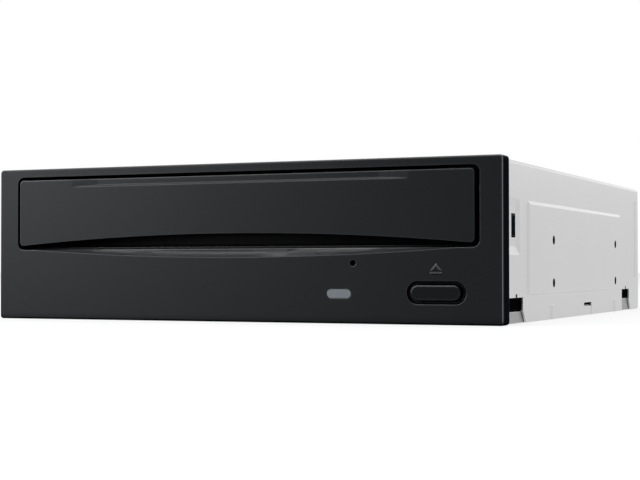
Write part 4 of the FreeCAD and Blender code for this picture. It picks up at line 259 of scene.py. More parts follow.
# %% Rubbed corners where a rounded normal leaves the flat one, and a painted highlight on those of them that lean up and left
def up_and_left(tree, normal):
    """How far a normal leans up and to the left, where the light comes from, and its X, Y and Z."""
    parts = node(tree, "ShaderNodeSeparateXYZ", {0: normal}).outputs
    return math_node(tree, "SUBTRACT", parts["Z"], times(tree, parts["X"], 0.5)), parts


group, start, end = effect("edge_wear_and_highlight", {"Radius": 0.0005, "Breakup": 400.0}, ("Mask", "Crest Highlight"))
rounded = node(group, "ShaderNodeBevel", {"Radius": start.outputs["Radius"]}, samples=4).outputs[0]
flat = node(group, "ShaderNodeNewGeometry").outputs["Normal"]
dot = node(group, "ShaderNodeVectorMath", {0: rounded, 1: flat}, operation="DOT_PRODUCT")
edge = ramp(group, dot.outputs["Value"], 0.999, 0.97)
place = node(group, "ShaderNodeTexCoord").outputs["Object"]
broken = ramp(group, noise(group, place, start.outputs["Breakup"], 4.0), 0.3, 0.6, 0.4, 1.0)
feed(group, end.inputs["Mask"], times(group, edge, broken, clamp=True))
leaning, parts = up_and_left(group, rounded)
# painted highlight: rounded edges that lean up and to the left, toward the key lamp, are marked to be
# painted pale
crest_highlight = times(group, edge, ramp(group, leaning, 0.2, 0.5), clamp=True)
feed(group, end.inputs["Crest Highlight"], crest_highlight)
edge_wear_and_highlight = group
print("group:", group.name)

# %% Dust that settles on what faces up
group, start, end = effect("settled_dust", {"Scale": 150.0, "Cover": 0.3}, ("Mask",))
place = node(group, "ShaderNodeTexCoord").outputs
split = node(group, "ShaderNodeSeparateXYZ", {0: place["Normal"]})
upward = ramp(group, split.outputs["Z"], 0.4, 1.0)
patchy = ramp(group, noise(group, place["Object"], start.outputs["Scale"], 6.0, 0.7), 0.45, 0.8)
settled = times(group, times(group, upward, patchy), start.outputs["Cover"], clamp=True)
feed(group, end.inputs["Mask"], settled)
settled_dust = group
print("group:", group.name)

# %% Which way a face looks: up and left, sideways, or round the right-hand corner
group, start, end = effect("wiped_faces", {"Low": 0.15, "High": 0.6},
                           ("Upward", "Flank", "Corner"))
leaning, parts = up_and_left(group, node(group, "ShaderNodeTexCoord").outputs["Normal"])
upward = ramp(group, leaning, start.outputs["Low"], start.outputs["High"])
feed(group, end.inputs["Upward"], upward)
flank = ramp(group, math_node(group, "ABSOLUTE", parts["X"]), 0.5, 0.9)
feed(group, end.inputs["Flank"], flank)
# the Corner band marks where a painted highlight is laid down the rounded right-hand corner
band = times(group, ramp(group, parts["X"], 0.2, 0.45), ramp(group, parts["X"], 0.85, 0.6))
frontal = ramp(group, parts["Y"], -0.3, -0.5)
feed(group, end.inputs["Corner"], times(group, band, frontal))
wiped_faces = group
print("group:", group.name)

# %% How far a spot lies open: 0 deep in a gap or groove, 1 on a free face; mouldings use it to paint shade into their colour
group, start, end = effect("occlusion_for_painted_shade", {"Reach": 0.003}, ("Open",))
shelter = node(group, "ShaderNodeAmbientOcclusion", {"Distance": start.outputs["Reach"]}, samples=8)
feed(group, end.inputs["Open"], ramp(group, shelter.outputs["AO"], 0.35, 0.8))
occlusion_for_painted_shade = group
print("group:", group.name)

# %% Rolling marks and zinc bloom of sheet steel
group, start, end = effect("rolled_sheet", {"Line Scale": 2500.0, "Bloom Scale": 90.0},
                           ("Height", "Tone"))
place = node(group, "ShaderNodeTexCoord").outputs["Object"]
stretch = node(group, "ShaderNodeMapping", {"Vector": place, "Scale": (1.0, 0.02, 1.0)})
lines = noise(group, stretch.outputs[0], start.outputs["Line Scale"], 3.0, 0.6)
bloom = noise(group, place, start.outputs["Bloom Scale"], 4.0, 0.55)
tone = math_node(group, "ADD", times(group, lines, 0.35), times(group, bloom, 0.65))
feed(group, end.inputs["Height"], lines)
feed(group, end.inputs["Tone"], tone)
rolled_sheet = group
print("group:", group.name)

# %% Hairline scratches in all directions: the borders of stretched cells, faded in patches
group, start, end = effect("hairlines", {"Scale": 60.0, "Amount": 0.4}, ("Mask",))
place = node(group, "ShaderNodeTexCoord").outputs["Object"]
total = 0.0
for turn, squeeze in ((0.3, 0.03), (1.4, 0.02), (2.3, 0.035)):
    lay = node(group, "ShaderNodeMapping", {"Vector": place, "Rotation": (turn, 0.7 * turn, turn),
                                            "Scale": (1, squeeze, 1)})
    web = node(group, "ShaderNodeTexVoronoi",
               {"Vector": lay.outputs[0], "Scale": start.outputs["Scale"]},
               feature="DISTANCE_TO_EDGE")
    total = math_node(group, "MAXIMUM", total, ramp(group, web.outputs["Distance"], 0.012, 0.0))
kept = times(group, total, ramp(group, noise(group, place, 45.0), 0.5, 0.7))
feed(group, end.inputs["Mask"], times(group, kept, start.outputs["Amount"], clamp=True))
hairlines = group
print("group:", group.name)

# %% [markdown]
# ## Finishes
# One function makes each family of finish. A finish is a Principled shader whose constant numbers sit
# on its own sockets, with the groups above feeding what changes over the surface: colour, roughness,
# coat and the normal.


# %% The common frame of a finish
def finish_start(name):
    material = bpy.data.materials.new(name)
    material.use_nodes = True
    tree = material.node_tree
    return material, tree, tree.nodes["Principled BSDF"]


def use(tree, group, **values):
    """Place an effect and set its inputs, with an underscore for a space; gives its outputs."""
    sockets = {label.replace("_", " "): value for label, value in values.items()}
    return node(tree, "ShaderNodeGroup", sockets, node_tree=group).outputs


def scaled(colour, factor):
    return tuple(min(1.0, c * factor) for c in colour)


def mix_colour(tree, factor, first, second):
    """Blend two colours, each a tuple of three or another node's output."""
    first, second = ((*c, 1) if isinstance(c, tuple) else c for c in (first, second))
    sockets = {"Factor": factor, 6: first, 7: second}
    return node(tree, "ShaderNodeMix", sockets, data_type="RGBA").outputs[2]


def bumped(tree, shader, height, strength, distance, radius):
    """Bump over a rounded normal, so that sharp solid edges catch the light as moulded ones do."""
    rounded = node(tree, "ShaderNodeBevel", {"Radius": radius}, samples=4)
    bump = node(tree, "ShaderNodeBump", {"Height": height, "Strength": strength,
                                         "Distance": distance, "Normal": rounded.outputs[0]})
    feed(tree, shader.inputs["Normal"], bump.outputs[0])


print("finish helpers ready")

# %% Moulded plastic
DUST, CORNER_HIGHLIGHT = (0.30, 0.29, 0.27), (0.12, 0.12, 0.125)
SKIN_ROUGHNESS = 0.36


def moulding(name, colour, wear_and_highlight, rough=0.5, level=0.5, grain=3000.0, depth=0.25, radius=0.0003,
             dust=0.05, skin=0.0, polish=0.0, corner=0.0, reach=0.003):
    """Injection-moulded plastic: fine grain, slow cloudiness, rubbed corners and a little dust.

    The mould gives a thin satin skin. skin is its shine on front faces and polish on faces that
    look up, which cloths touch most; flanks have none, and in grooves and gaps it fades to nothing.
    Rubbed corners that lean up and to the left are also painted pale as a highlight, and the colour
    darkens towards black in grooves and gaps as painted shade. corner is the strength of a painted
    highlight down a rounded right-hand corner. reach is how wide a gap still counts as one.
    """
    material, tree, shader = finish_start(name)
    shader.inputs["Specular IOR Level"].default_value = level
    shader.inputs["Coat Roughness"].default_value = SKIN_ROUGHNESS
    texture = use(tree, moulded_grain, Scale=grain)
    free = use(tree, occlusion_for_painted_shade, Reach=reach)["Open"]
    facing = use(tree, wiped_faces)
    edges = use(tree, edge_wear_and_highlight, Radius=radius * 1.3)
    film = use(tree, settled_dust, Cover=dust)["Mask"]

    faint = times(tree, times(tree, edges["Mask"], free), 0.2)
    # rub: faint wear on all edges, plus a painted highlight on the edges that lean up and left
    rub = math_node(tree, "MAXIMUM", faint, times(tree, edges["Crest Highlight"], free))
    base = mix_colour(tree, texture["Tone"], scaled(colour, 0.82), scaled(colour, 1.12))
    base = mix_colour(tree, rub, base, wear_and_highlight)
    base = mix_colour(tree, film, base, DUST)
    if corner:
        # painted highlight: a pale line down the rounded right-hand corner
        corner_highlight_mask = times(tree, facing["Corner"], times(tree, free, corner))
        base = mix_colour(tree, corner_highlight_mask, base, CORNER_HIGHLIGHT)
    # painted shade: the colour darkens towards black in gaps and grooves, as far as the occlusion mask
    # reaches
    base = mix_colour(tree, ramp(tree, free, 0.0, 1.0, 0.25, 1.0), (0.0, 0.0, 0.0), base)
    feed(tree, shader.inputs["Base Color"], base)

    if skin:
        shine = times(tree, math_node(tree, "MAXIMUM", facing["Upward"], rub), polish)
        plain = ramp(tree, facing["Flank"], 0.0, 1.0, skin, 0.0)
        shine = math_node(tree, "MAXIMUM", shine, plain)
        feed(tree, shader.inputs["Coat Weight"], times(tree, shine, free, clamp=True))
    rougher = ramp(tree, texture["Tone"], 0.3, 0.7, rough - 0.02, rough + 0.03)
    rougher = math_node(tree, "ADD", rougher, times(tree, film, 0.3), clamp=True)
    hidden = ramp(tree, free, 0.0, 1.0, 0.4, 0.0)
    feed(tree, shader.inputs["Roughness"], math_node(tree, "ADD", rougher, hidden, clamp=True))
    bumped(tree, shader, texture["Height"], depth, 0.00008, radius)
    return material


print("moulding ready")

# %% Rolled sheet steel
BRIGHT_EDGE = (0.82, 0.82, 0.81)


def sheet_metal(name, colour, rough=0.36, spread=0.12, radius=0.0002, lines=2500.0, scratch=0.3,
                relief=0.12):
    """Rolled steel: cloudy zinc bloom, rolling lines, hairlines and bright sheared edges."""
    material, tree, shader = finish_start(name)
    shader.inputs["Metallic"].default_value = 1.0
    texture = use(tree, rolled_sheet, Line_Scale=lines)
    rub = use(tree, edge_wear_and_highlight, Radius=radius * 1.5)["Mask"]
    marks = use(tree, hairlines, Amount=scratch)["Mask"]
    base = mix_colour(tree, ramp(tree, texture["Tone"], 0.35, 0.65),
                      scaled(colour, 1 - spread), scaled(colour, 1 + spread))
    base = mix_colour(tree, times(tree, rub, 0.6), base, BRIGHT_EDGE)
    base = mix_colour(tree, marks, base, scaled(colour, 0.7))
    feed(tree, shader.inputs["Base Color"], base)
    rougher = ramp(tree, texture["Tone"], 0.35, 0.65, rough - spread / 3, rough + spread / 2)
    rougher = math_node(tree, "ADD", rougher, times(tree, marks, 0.2), clamp=True)
    feed(tree, shader.inputs["Roughness"], rougher)
    bumped(tree, shader, texture["Height"], relief, 0.00004, radius)
    return material


print("sheet metal ready")

# %% [markdown]
# ## Finishes of the outside
# The bezel, door and button are one black plastic. The photograph shows them almost black at the right
# end and a slate grey at the left, so the shine is low and wide. The button is a shade darker, and the
# eject sign's edges that lean up and left get a pale painted highlight. The case is galvanised steel
# with a satin surface, and the plate under it is painted a darker grey for the shade it lies in.

# %% Black front, button and sign
# the second and third colours paint both edge wear and a highlight on edges that lean toward the light
FRONT_BLACK, WEAR_AND_HIGHLIGHT, SIGN_WEAR_AND_HIGHLIGHT = (0.0036, 0.0050, 0.0060), (0.08, 0.082, 0.085), (0.22, 0.22, 0.23)
FRONT_LOOK = dict(rough=0.6, level=0.0, grain=4200.0, dust=0.0, polish=1.0)
FINISH = {"bezel_black": moulding("bezel_black", FRONT_BLACK, WEAR_AND_HIGHLIGHT, depth=0.22, radius=0.00035,
                                  skin=0.26, corner=1.0, **FRONT_LOOK)}
BUTTON = moulding("button_black", scaled(FRONT_BLACK, 0.5), WEAR_AND_HIGHLIGHT, depth=0.2, radius=0.00035,
                  skin=0.18, **FRONT_LOOK)
# painted highlight: the sign's flanks that lean up and left take the pale colour, and corner lays a
# weaker painted line on its right-hand flanks
RELIEF = moulding("relief_black", FRONT_BLACK, SIGN_WEAR_AND_HIGHLIGHT, depth=0.1, radius=0.00015,
                  skin=0.2, corner=0.35, **FRONT_LOOK)
print("front finishes:", BUTTON.name, RELIEF.name, *FINISH)

# %% Metals: the slot's name, its colour and how it differs from plain sheet
METALS = {
    "case_steel": dict(colour=(0.545, 0.545, 0.55), rough=0.32, spread=0.02, scratch=0.015,
                       relief=0.02),
    "chassis_steel": dict(colour=(0.50, 0.50, 0.49), rough=0.38),
    "screw_steel": dict(colour=(0.46, 0.46, 0.47), rough=0.30, scratch=0.1),
    "motor_steel": dict(colour=(0.50, 0.50, 0.51), rough=0.28, scratch=0.15),
    "magnet_steel": dict(colour=(0.36, 0.36, 0.37), rough=0.25, scratch=0.1),
    # painted shade: the tapped linings are near black, standing for the shade inside the side holes
    "tapped_steel": dict(colour=(0.012, 0.012, 0.012), rough=0.6, scratch=0.0, radius=0.000005),
    "thread_steel": dict(colour=(0.44, 0.42, 0.38), rough=0.27, scratch=0.1),
    "rod_steel": dict(colour=(0.66, 0.66, 0.67), rough=0.12, spread=0.04, scratch=0.05),
    "sled_metal": dict(colour=(0.40, 0.40, 0.41), rough=0.5, lines=900.0, scratch=0.1),
    "cap_sleeve": dict(colour=(0.62, 0.63, 0.65), rough=0.3, scratch=0.05),
}
FINISH.update({slot: sheet_metal(slot, **look) for slot, look in METALS.items()})
# painted shade: the bottom plate's steel is a darker grey because it lies in shade
PLATE_PAINTED_SHADE = sheet_metal("plate_steel_painted_shade", (0.30, 0.30, 0.30), rough=0.42, spread=0.04, scratch=0.03,
                    relief=0.05)
print("metals:", len(METALS), "and", PLATE_PAINTED_SHADE.name)

# %% Black, cream and white mouldings inside: colour, colour of wear and painted edge highlight, and how each differs
# reach=0.012 spreads the painted shade over gaps up to about 12 mm wide
INSIDE_LOOK = dict(level=0.0, reach=0.012)
MOULDINGS = {
    "frame_black": ((0.003, 0.003, 0.0032), (0.03, 0.03, 0.03),
                    dict(rough=0.6, skin=0.12, polish=0.3, **INSIDE_LOOK)),
    "tray_black": ((0.007, 0.007, 0.0075), (0.05, 0.05, 0.052),
                   dict(rough=0.55, skin=0.25, polish=0.45, **INSIDE_LOOK)),
    "nylon_white": ((0.72, 0.70, 0.64), (0.82, 0.81, 0.76), dict(rough=0.38, grain=1500.0, depth=0.08)),
    "rotor_black": ((0.018, 0.018, 0.019), (0.08, 0.08, 0.08), dict(rough=0.4)),
    "chip_black": ((0.022, 0.022, 0.023), (0.10, 0.10, 0.10), dict(rough=0.55, grain=6000.0)),
    "socket_cream": ((0.62, 0.58, 0.48), (0.7, 0.68, 0.6), dict(rough=0.45)),
    "belt_rubber": ((0.013, 0.013, 0.013), (0.05, 0.05, 0.05), dict(rough=0.68, level=0.3)),
    "damper_rubber": ((0.05, 0.05, 0.058), (0.09, 0.09, 0.10), dict(rough=0.72, level=0.3)),
}
for slot, (colour, wear_and_highlight, look) in MOULDINGS.items():
    FINISH[slot] = moulding(slot, colour, wear_and_highlight, **look)
print("mouldings inside:", len(MOULDINGS))

# %% Solder-masked board: traces under green lacquer, with tinned pads
TINNED = (0.55, 0.54, 0.50)


def board_finish(name, green):
    material, tree, shader = finish_start(name)
    place = node(tree, "ShaderNodeTexCoord").outputs["Object"]
    runs = node(tree, "ShaderNodeTexBrick",
                {"Vector": place, "Scale": 260.0, "Mortar Size": 0.035, "Mortar Smooth": 0.1,
                 "Brick Width": 2.6, "Row Height": 0.24}, offset=0.37, squash=0.6, squash_frequency=3)
    copper = ramp(tree, runs.outputs["Fac"], 0.0, 1.0, 1.0, 0.0)
    pads = node(tree, "ShaderNodeTexVoronoi", {"Vector": place, "Scale": 380.0, "Randomness": 0.85})
    dots = ramp(tree, pads.outputs["Distance"], 0.17, 0.12)
    base = mix_colour(tree, copper, green, scaled(green, 2.0))
    feed(tree, shader.inputs["Base Color"], mix_colour(tree, dots, base, TINNED))
    feed(tree, shader.inputs["Metallic"], ramp(tree, dots, 0.0, 1.0, 0.0, 0.9))
    feed(tree, shader.inputs["Roughness"], ramp(tree, copper, 0.0, 1.0, 0.32, 0.24))
    bumped(tree, shader, copper, 0.3, 0.00005, 0.0001)
    return material


FINISH["board_green"] = board_finish("board_green", (0.008, 0.075, 0.032))
print("board finish ready")


# %% Clear plastic and coated lens
def clear_finish(name, colour, rough, coat):
    material, tree, shader = finish_start(name)
    for label, value in (("Transmission Weight", 0.75), ("IOR", 1.49), ("Coat Weight", coat)):
        shader.inputs[label].default_value = value
    texture = use(tree, moulded_grain, Scale=900.0, Cloud_Scale=300.0)
    base = mix_colour(tree, texture["Tone"], scaled(colour, 0.85), colour)
    feed(tree, shader.inputs["Base Color"], base)
    hazy = ramp(tree, texture["Tone"], 0.3, 0.7, rough, rough + 0.05)
    feed(tree, shader.inputs["Roughness"], hazy)
    bumped(tree, shader, texture["Height"], 0.04, 0.00005, 0.0002)
    return material


FINISH["window_grey"] = clear_finish("window_grey", (0.38, 0.45, 0.52), 0.28, 0.3)
FINISH["lens_glass"] = clear_finish("lens_glass", (0.55, 0.62, 0.85), 0.03, 0.6)
print("clear finishes ready")

# %% Laminated flat cable: its copper lanes lie a millimetre apart and show through
LANES_PER_METRE = 1000


def ribbon_finish(name):
    material, tree, shader = finish_start(name)
    place = node(tree, "ShaderNodeTexCoord").outputs["Object"]
    split = node(tree, "ShaderNodeSeparateXYZ", {0: place})
    wave = math_node(tree, "SINE", times(tree, split.outputs["X"], 2 * math.pi * LANES_PER_METRE))
    copper = ramp(tree, wave, -0.1, 0.5)
    base = mix_colour(tree, copper, (0.72, 0.72, 0.70), (0.46, 0.47, 0.48))
    feed(tree, shader.inputs["Base Color"], base)
    feed(tree, shader.inputs["Roughness"], ramp(tree, copper, 0.0, 1.0, 0.35, 0.28))
    bumped(tree, shader, copper, 0.25, 0.00005, 0.0001)
    return material


FINISH["cable_white"] = ribbon_finish("cable_white")
print("finishes in all:", len(FINISH))

# %% [markdown]
# ## Dressing the solids
# The record says which material slot each solid belongs to. A solid whose shape is right keeps its mesh
# and gets the finish of that slot. The button and the bottom plate have a finish of their own; the
# plate's is a darker grey steel, painted shade for where it lies under the case.

# %% Give every solid the finish of its slot
for part in frame["record"]["subparts"]:
    for holder in NODES[part["node"]].material_slots:
        holder.material = FINISH[part["material_slot"]]
for label, finish in (("eject_button", BUTTON), ("bottom_plate", PLATE_PAINTED_SHADE)):
    for holder in NODES[label].material_slots:
        holder.material = finish

# %% [markdown]
# ## Making small pieces
# What the solids leave out is small and often repeated. Each such shape is made once as a bmesh at the
# origin, and copies of it are set in place with a matrix. Round shapes are rings bridged together,
# which is quicker to read than a list of vertices and always gives clean quads.


# %% Helpers for places and sizes in millimetres
def at(x, y, z, turn=0.0, axis="X"):
    """A place, turned about one axis first."""
    return Matrix.Translation((x * MM, y * MM, z * MM)) @ Matrix.Rotation(math.radians(turn), 4, axis)


def box_mm(label):
    """The lowest and highest corner of a solid."""
    return [Vector(corner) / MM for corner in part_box(label)]


def block(bm, middle, size):
    """A cube stretched to a size about its middle."""
    stretch = Matrix.Diagonal((*(length * MM for length in size), 1))
    bmesh.ops.create_cube(bm, size=1.0, matrix=at(*middle) @ stretch)


def soften(bm, edges, width, segments=1):
    bmesh.ops.bevel(bm, geom=edges, offset=width * MM, affect="EDGES", segments=segments,
                    profile=0.5, material=-1)


print("cover box:", [round(v, 2) for corner in box_mm("top_cover") for v in corner])


# %% Helpers: rings bridged into a turned shape, copies, and the finished piece
def ring(bm, radius, height, segments=24):
    """A circle about the Z axis, in metres; gives its edges."""
    made = bmesh.ops.create_circle(bm, segments=segments, radius=radius,
                                   matrix=Matrix.Translation((0, 0, height)))
    return list({edge for vert in made["verts"] for edge in vert.link_edges})


def turned(bm, profile, segments=24, closed=False):
    """Bridge rings of (radius, height), in millimetres; closed joins the last to the first."""
    rings = [ring(bm, r * MM, h * MM, segments) for r, h in profile]
    pairs = list(zip(rings, rings[1:])) + ([(rings[-1], rings[0])] if closed else [])
    for first, second in pairs:
        bmesh.ops.bridge_loops(bm, edges=first + second)
    if not closed:
        for end in (rings[0], rings[-1]):
            bmesh.ops.contextual_create(bm, geom=end)


def copies(template, places):
    """One bmesh with a copy of the template at every matrix."""
    source = bpy.data.meshes.new("template")
    template.to_mesh(source)
    template.free()
    bm = bmesh.new()
    for place in places:
        start = len(bm.verts)
        bm.from_mesh(source)
        bm.verts.ensure_lookup_table()
        bmesh.ops.transform(bm, matrix=place, verts=bm.verts[start:])
    bpy.data.meshes.remove(source)
    return bm


def piece(name, bm, finish, body, smooth=False):
    """Turn a finished bmesh into a piece that rides on a body."""
    mesh = bpy.data.meshes.new(name)
    bmesh.ops.recalc_face_normals(bm, faces=bm.faces)
    bm.to_mesh(mesh)
    bm.free()
    mesh.materials.append(finish)
    if smooth:
        mesh.shade_smooth()
        mesh.set_sharp_from_angle(angle=math.radians(40))
    made = bpy.data.objects.new(name, mesh)
    bpy.context.scene.collection.objects.link(made)
    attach(made, body)
    return made


print("piece helpers ready")

# %% [markdown]
# ## Eject sign
# The sign above the button is raised from the plastic by the mould: a triangle over a bar, each with
# sloped flanks. The flank that faces up and left catches the light and the lower one stays dark, which
# is all that shows of it; its finish also paints that flank pale as a highlight. A few vertices give
# the outline, an extrusion lifts it, and scaling the lifted face slopes the flanks.

# %% Raised triangle and bar
SIGN_HEIGHT = 0.3
TRIANGLE = [(55.05, 13.45), (58.25, 13.45), (56.66, 15.45)]
BAR = [(55.05, 12.5), (58.25, 12.5), (58.25, 13.2), (55.05, 13.2)]


def raised(bm, outline, top_width, top_height):
    """Lift an outline of (x, z) in millimetres, with the shares of it that its top keeps."""
    corners = [bm.verts.new((x * MM, FRONT + 0.00002, z * MM)) for x, z in outline]
    grown = bmesh.ops.extrude_face_region(bm, geom=[bm.faces.new(corners)])
    lifted = [item for item in grown["geom"] if isinstance(item, bmesh.types.BMVert)]
    bmesh.ops.translate(bm, verts=lifted, vec=(0, -SIGN_HEIGHT * MM, 0))
    middle = sum((v.co for v in lifted), Vector()) / len(lifted)
    bmesh.ops.translate(bm, verts=lifted, vec=-middle)
    bmesh.ops.scale(bm, verts=lifted, vec=(top_width, 1, top_height))
    bmesh.ops.translate(bm, verts=lifted, vec=middle)


bm = bmesh.new()
raised(bm, TRIANGLE, 0.5, 0.5)
raised(bm, BAR, 0.9, 0.2)
eject_sign = piece("eject_sign", bm, RELIEF, "housing")
print("sign faces:", len(eject_sign.data.polygons))

# %% [markdown]
# ## Screws with a cross recess
# A solid screw is a plain disc on a rod. The real ones are pan heads with a cross recess and a thread.
# The head is rings bridged from crown to rim. The recess is a cross of twelve vertices, extruded down
# and narrowed, and bridged to the crown's ring, so the whole screw is one closed skin.

# %% A cross-recessed screw, head up, with its seat at the origin
THREAD_PITCH, MOST_TURNS = 0.45, 16
VALLEY = 0.82                                   # radius of the thread's valleys over its crests
RECESS_HALF, RECESS_ARM = 0.48, 0.11            # the cross over the head's radius
RECESS_DEPTH, RECESS_TAPER = 0.75, 0.55         # over the head's height, and of floor over rim


def cross_outline(half, arm):
    """Twelve corners of a plus sign, in order round it."""
    quarter = [(arm, arm), (half, arm), (half, -arm)]
    corners = []
    for turn in range(4):
        c, s = round(math.cos(-turn * math.pi / 2)), round(math.sin(-turn * math.pi / 2))
        corners += [(c * x - s * y, s * x + c * y) for x, y in quarter]
    return corners


def screw(head, height, shank, length):
    """The head's radius and height, and the shank's radius and length, in millimetres."""
    bm = bmesh.new()
    crown = previous = ring(bm, head * 0.62 * MM, height * MM)
    walls = [(head * 0.88, height * 0.78), (head, height * 0.35), (head, 0.0), (shank, 0.0)]
    turns = min(MOST_TURNS, int(length / THREAD_PITCH))
    for step in range(turns):
        walls += [(shank * VALLEY, -(step + 0.5) * length / turns),
                  (shank, -(step + 1) * length / turns)]
    for radius, level in walls:
        current = ring(bm, radius * MM, level * MM)
        bmesh.ops.bridge_loops(bm, edges=previous + current)
        previous = current
    bmesh.ops.contextual_create(bm, geom=previous)

    corners = [bm.verts.new((x * MM, y * MM, height * MM))
               for x, y in cross_outline(head * RECESS_HALF, head * RECESS_ARM)]
    rim = [bm.edges.new((corners[i], corners[(i + 1) % 12])) for i in range(12)]
    bmesh.ops.bridge_loops(bm, edges=crown + rim)
    sunk = bmesh.ops.extrude_edge_only(bm, edges=rim)["geom"]
    low = [item for item in sunk if isinstance(item, bmesh.types.BMVert)]
    bmesh.ops.translate(bm, verts=low, vec=(0, 0, -height * RECESS_DEPTH * MM))
    bmesh.ops.scale(bm, verts=low, vec=(RECESS_TAPER, RECESS_TAPER, 1))
    floor_edges = [item for item in sunk if isinstance(item, bmesh.types.BMEdge)
                   and all(v in low for v in item.verts)]
    bmesh.ops.contextual_create(bm, geom=floor_edges)
    return bm


print("corners of a recess:", len(cross_outline(RECESS_HALF, RECESS_ARM)))


# %% Where the solid screws sit
def islands(bm):
    """The loose pieces of a mesh, each as a set of vertices."""
    left = set(bm.verts)
    while left:
        island, edge = set(), [left.pop()]
        while edge:
            vert = edge.pop()
            island.add(vert)
            near = {e.other_vert(vert) for e in vert.link_edges} & left
            left -= near
            edge += near
        yield island


def screw_places(name, height, turns, lean, down):
    """Where the heads of a node's solid screws sit, and how far the shanks reach below them."""
    bm = bmesh.new()
    bm.from_mesh(NODES[name].data)
    bmesh.ops.remove_doubles(bm, verts=bm.verts, dist=0.000001)
    bmesh.ops.transform(bm, verts=bm.verts, matrix=lean.inverted())
    seats = []
    for island in islands(bm):
        low, high = (Vector(pick(v.co[k] for v in island) for k in range(3)) / MM
                     for pick in (min, max))
        seat = low.z + height if down else high.z - height
        seats.append(((low.x + high.x) / 2, (low.y + high.y) / 2, seat))
        reach = high.z - low.z - height
    bm.free()
    flip = 180 if down else 0
    return [lean @ at(*seat, flip) @ at(0, 0, 0, turn, "Z")
            for seat, turn in zip(sorted(seats), turns)], reach


print("screw finder ready")

# %% [markdown]
# The traverse rests with its front lowered, turned about its rear pins, so its dampers' screws and its
# feed screw are made level and then leant with it. No two screws stop at the same angle, so each has
# a turn of its own.

# %% Cross-recessed screws in place of the solid ones
PIN_Y, PIN_Z, REST_LEAN = 65.5, 17.0, 5.74
LEVEL = Matrix()
LEAN = at(0, PIN_Y, PIN_Z, REST_LEAN, "X") @ at(0, -PIN_Y, -PIN_Z)
# the node, its body, head radius and height with shank radius, turns in degrees, lean, head down
SCREWS = [("case_screws", "housing", (2.7, 0.75, 1.2), (12, 47, 71, 33), LEVEL, True),
          ("bridge_screws", "housing", (2.2, 0.8, 1.0), (5, 62, 28, 81), LEVEL, False),
          ("board_screws", "housing", (2.2, 0.8, 1.0), (18, 55, 39), LEVEL, True),
          ("motor_screws", "housing", (2.2, 0.8, 1.0), (40, 66), LEVEL, False),
          ("damper_screws", "traverse", (3.2, 1.1, 1.5), (9, 51, 24, 77), LEAN, False)]
for name, body, (head, height, shank), turns, lean, down in SCREWS:
    places, length = screw_places(name, height, turns, lean, down)
    screws = piece(name + "_cross", copies(screw(head, height, shank, length), places),
                   FINISH["screw_steel"], body, smooth=True)
    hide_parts(name)
    print(name, [tuple(round(v, 1) for v in place.translation / MM) for place in places])

# %% [markdown]
# ## Lip under the tray's apron
# A slit is left between the apron behind the door and the sill of the mouth, through which the rack
# would show. The moulding closes it with a thin lip. It is a cube stretched to the apron's own width,
# with a bevelled lower edge, and takes its place from the apron's foot.

# %% Thin lip that rides with the tray
APRON_FOOT, APRON_REAR = 20.6, 7.05      # height of the apron's foot, and its rear from the front
LIP_FOOT, LIP_TOP = 20.1, APRON_FOOT + 0.3
foot = [v.co / MM for v in NODES["disc_tray"].data.vertices
        if abs(v.co.z / MM - APRON_FOOT) < 0.02 and (v.co.y - FRONT) / MM < APRON_REAR]
left, right = min(v.x for v in foot), max(v.x for v in foot)
near, far = min(v.y for v in foot), max(v.y for v in foot)
lip = bmesh.new()
block(lip, ((left + right) / 2, (near + far) / 2, (LIP_FOOT + LIP_TOP) / 2),
      (right - left - 0.4, far - near - 0.3, LIP_TOP - LIP_FOOT))
soften(lip, [e for e in lip.edges if all(v.co.z < (LIP_FOOT + 0.01) * MM for v in e.verts)], 0.15, 2)
apron_lip = piece("apron_lip", lip, FINISH["tray_black"], "tray")
print("apron foot x", round(left, 2), round(right, 2), "y", round(near, 2), round(far, 2),
      "lip", [round(v / MM, 2) for v in apron_lip.dimensions])

# %% [markdown]
# ## Threads in the side holes
# The eight side holes take the bay's screws. Their collars are pressed out of the cover and tapped, so
# a fine zigzag runs round inside each. It is a turned lining a hair inside the solid collar, coloured
# near black as painted shade deep in each hole.

# %% Tapped linings
BACK_R, ROOT_R, CREST_R = 1.32, 1.27, 1.08       # radii of the lining
TURN_DEPTH, LINING_DEPTH = 0.22, 1.08
HOLE_DEPTHS, HOLE_HEIGHTS = (52.4, 131.65), (10.0, 21.84)
zigzag = [(BACK_R, 0.0)]
for step in range(5):
    zigzag += [(ROOT_R, step * TURN_DEPTH), (CREST_R, (step + 0.5) * TURN_DEPTH)]
zigzag += [(ROOT_R, LINING_DEPTH), (BACK_R, LINING_DEPTH)]
lining = bmesh.new()
turned(lining, zigzag, 20, closed=True)
low, high = box_mm("top_cover")
places = [at(s * (high.x - 0.01), FRONT / MM + depth, low.z + height, -90 * s, "Y")
          for s in (1, -1) for depth in HOLE_DEPTHS for height in HOLE_HEIGHTS]
piece("side_hole_threads", copies(lining, places), FINISH["tapped_steel"], "housing")
print("tapped holes:", len(places))

# %% [markdown]
# ## Contacts of the rear sockets
# The solids have the L-shaped tongues of a serial drive connector. On the real part each tongue
# carries gold blades along one face, fifteen for power and seven for data. A blade is a cube stretched
# flat whose rear end is bevelled, so that the mating plug slides on.


# %% Gold finish
def gold_finish():
    material, tree, shader = finish_start("contact_gold")
    shader.inputs["Metallic"].default_value = 1.0
    texture = use(tree, rolled_sheet, Line_Scale=5000.0)
    base = mix_colour(tree, texture["Tone"], (0.72, 0.47, 0.17), (0.86, 0.62, 0.28))
    feed(tree, shader.inputs["Base Color"], base)
    feed(tree, shader.inputs["Roughness"], ramp(tree, texture["Tone"], 0.35, 0.65, 0.2, 0.32))
    bumped(tree, shader, texture["Height"], 0.08, 0.00002, 0.00005)
    return material


GOLD = gold_finish()
print("finish:", GOLD.name)

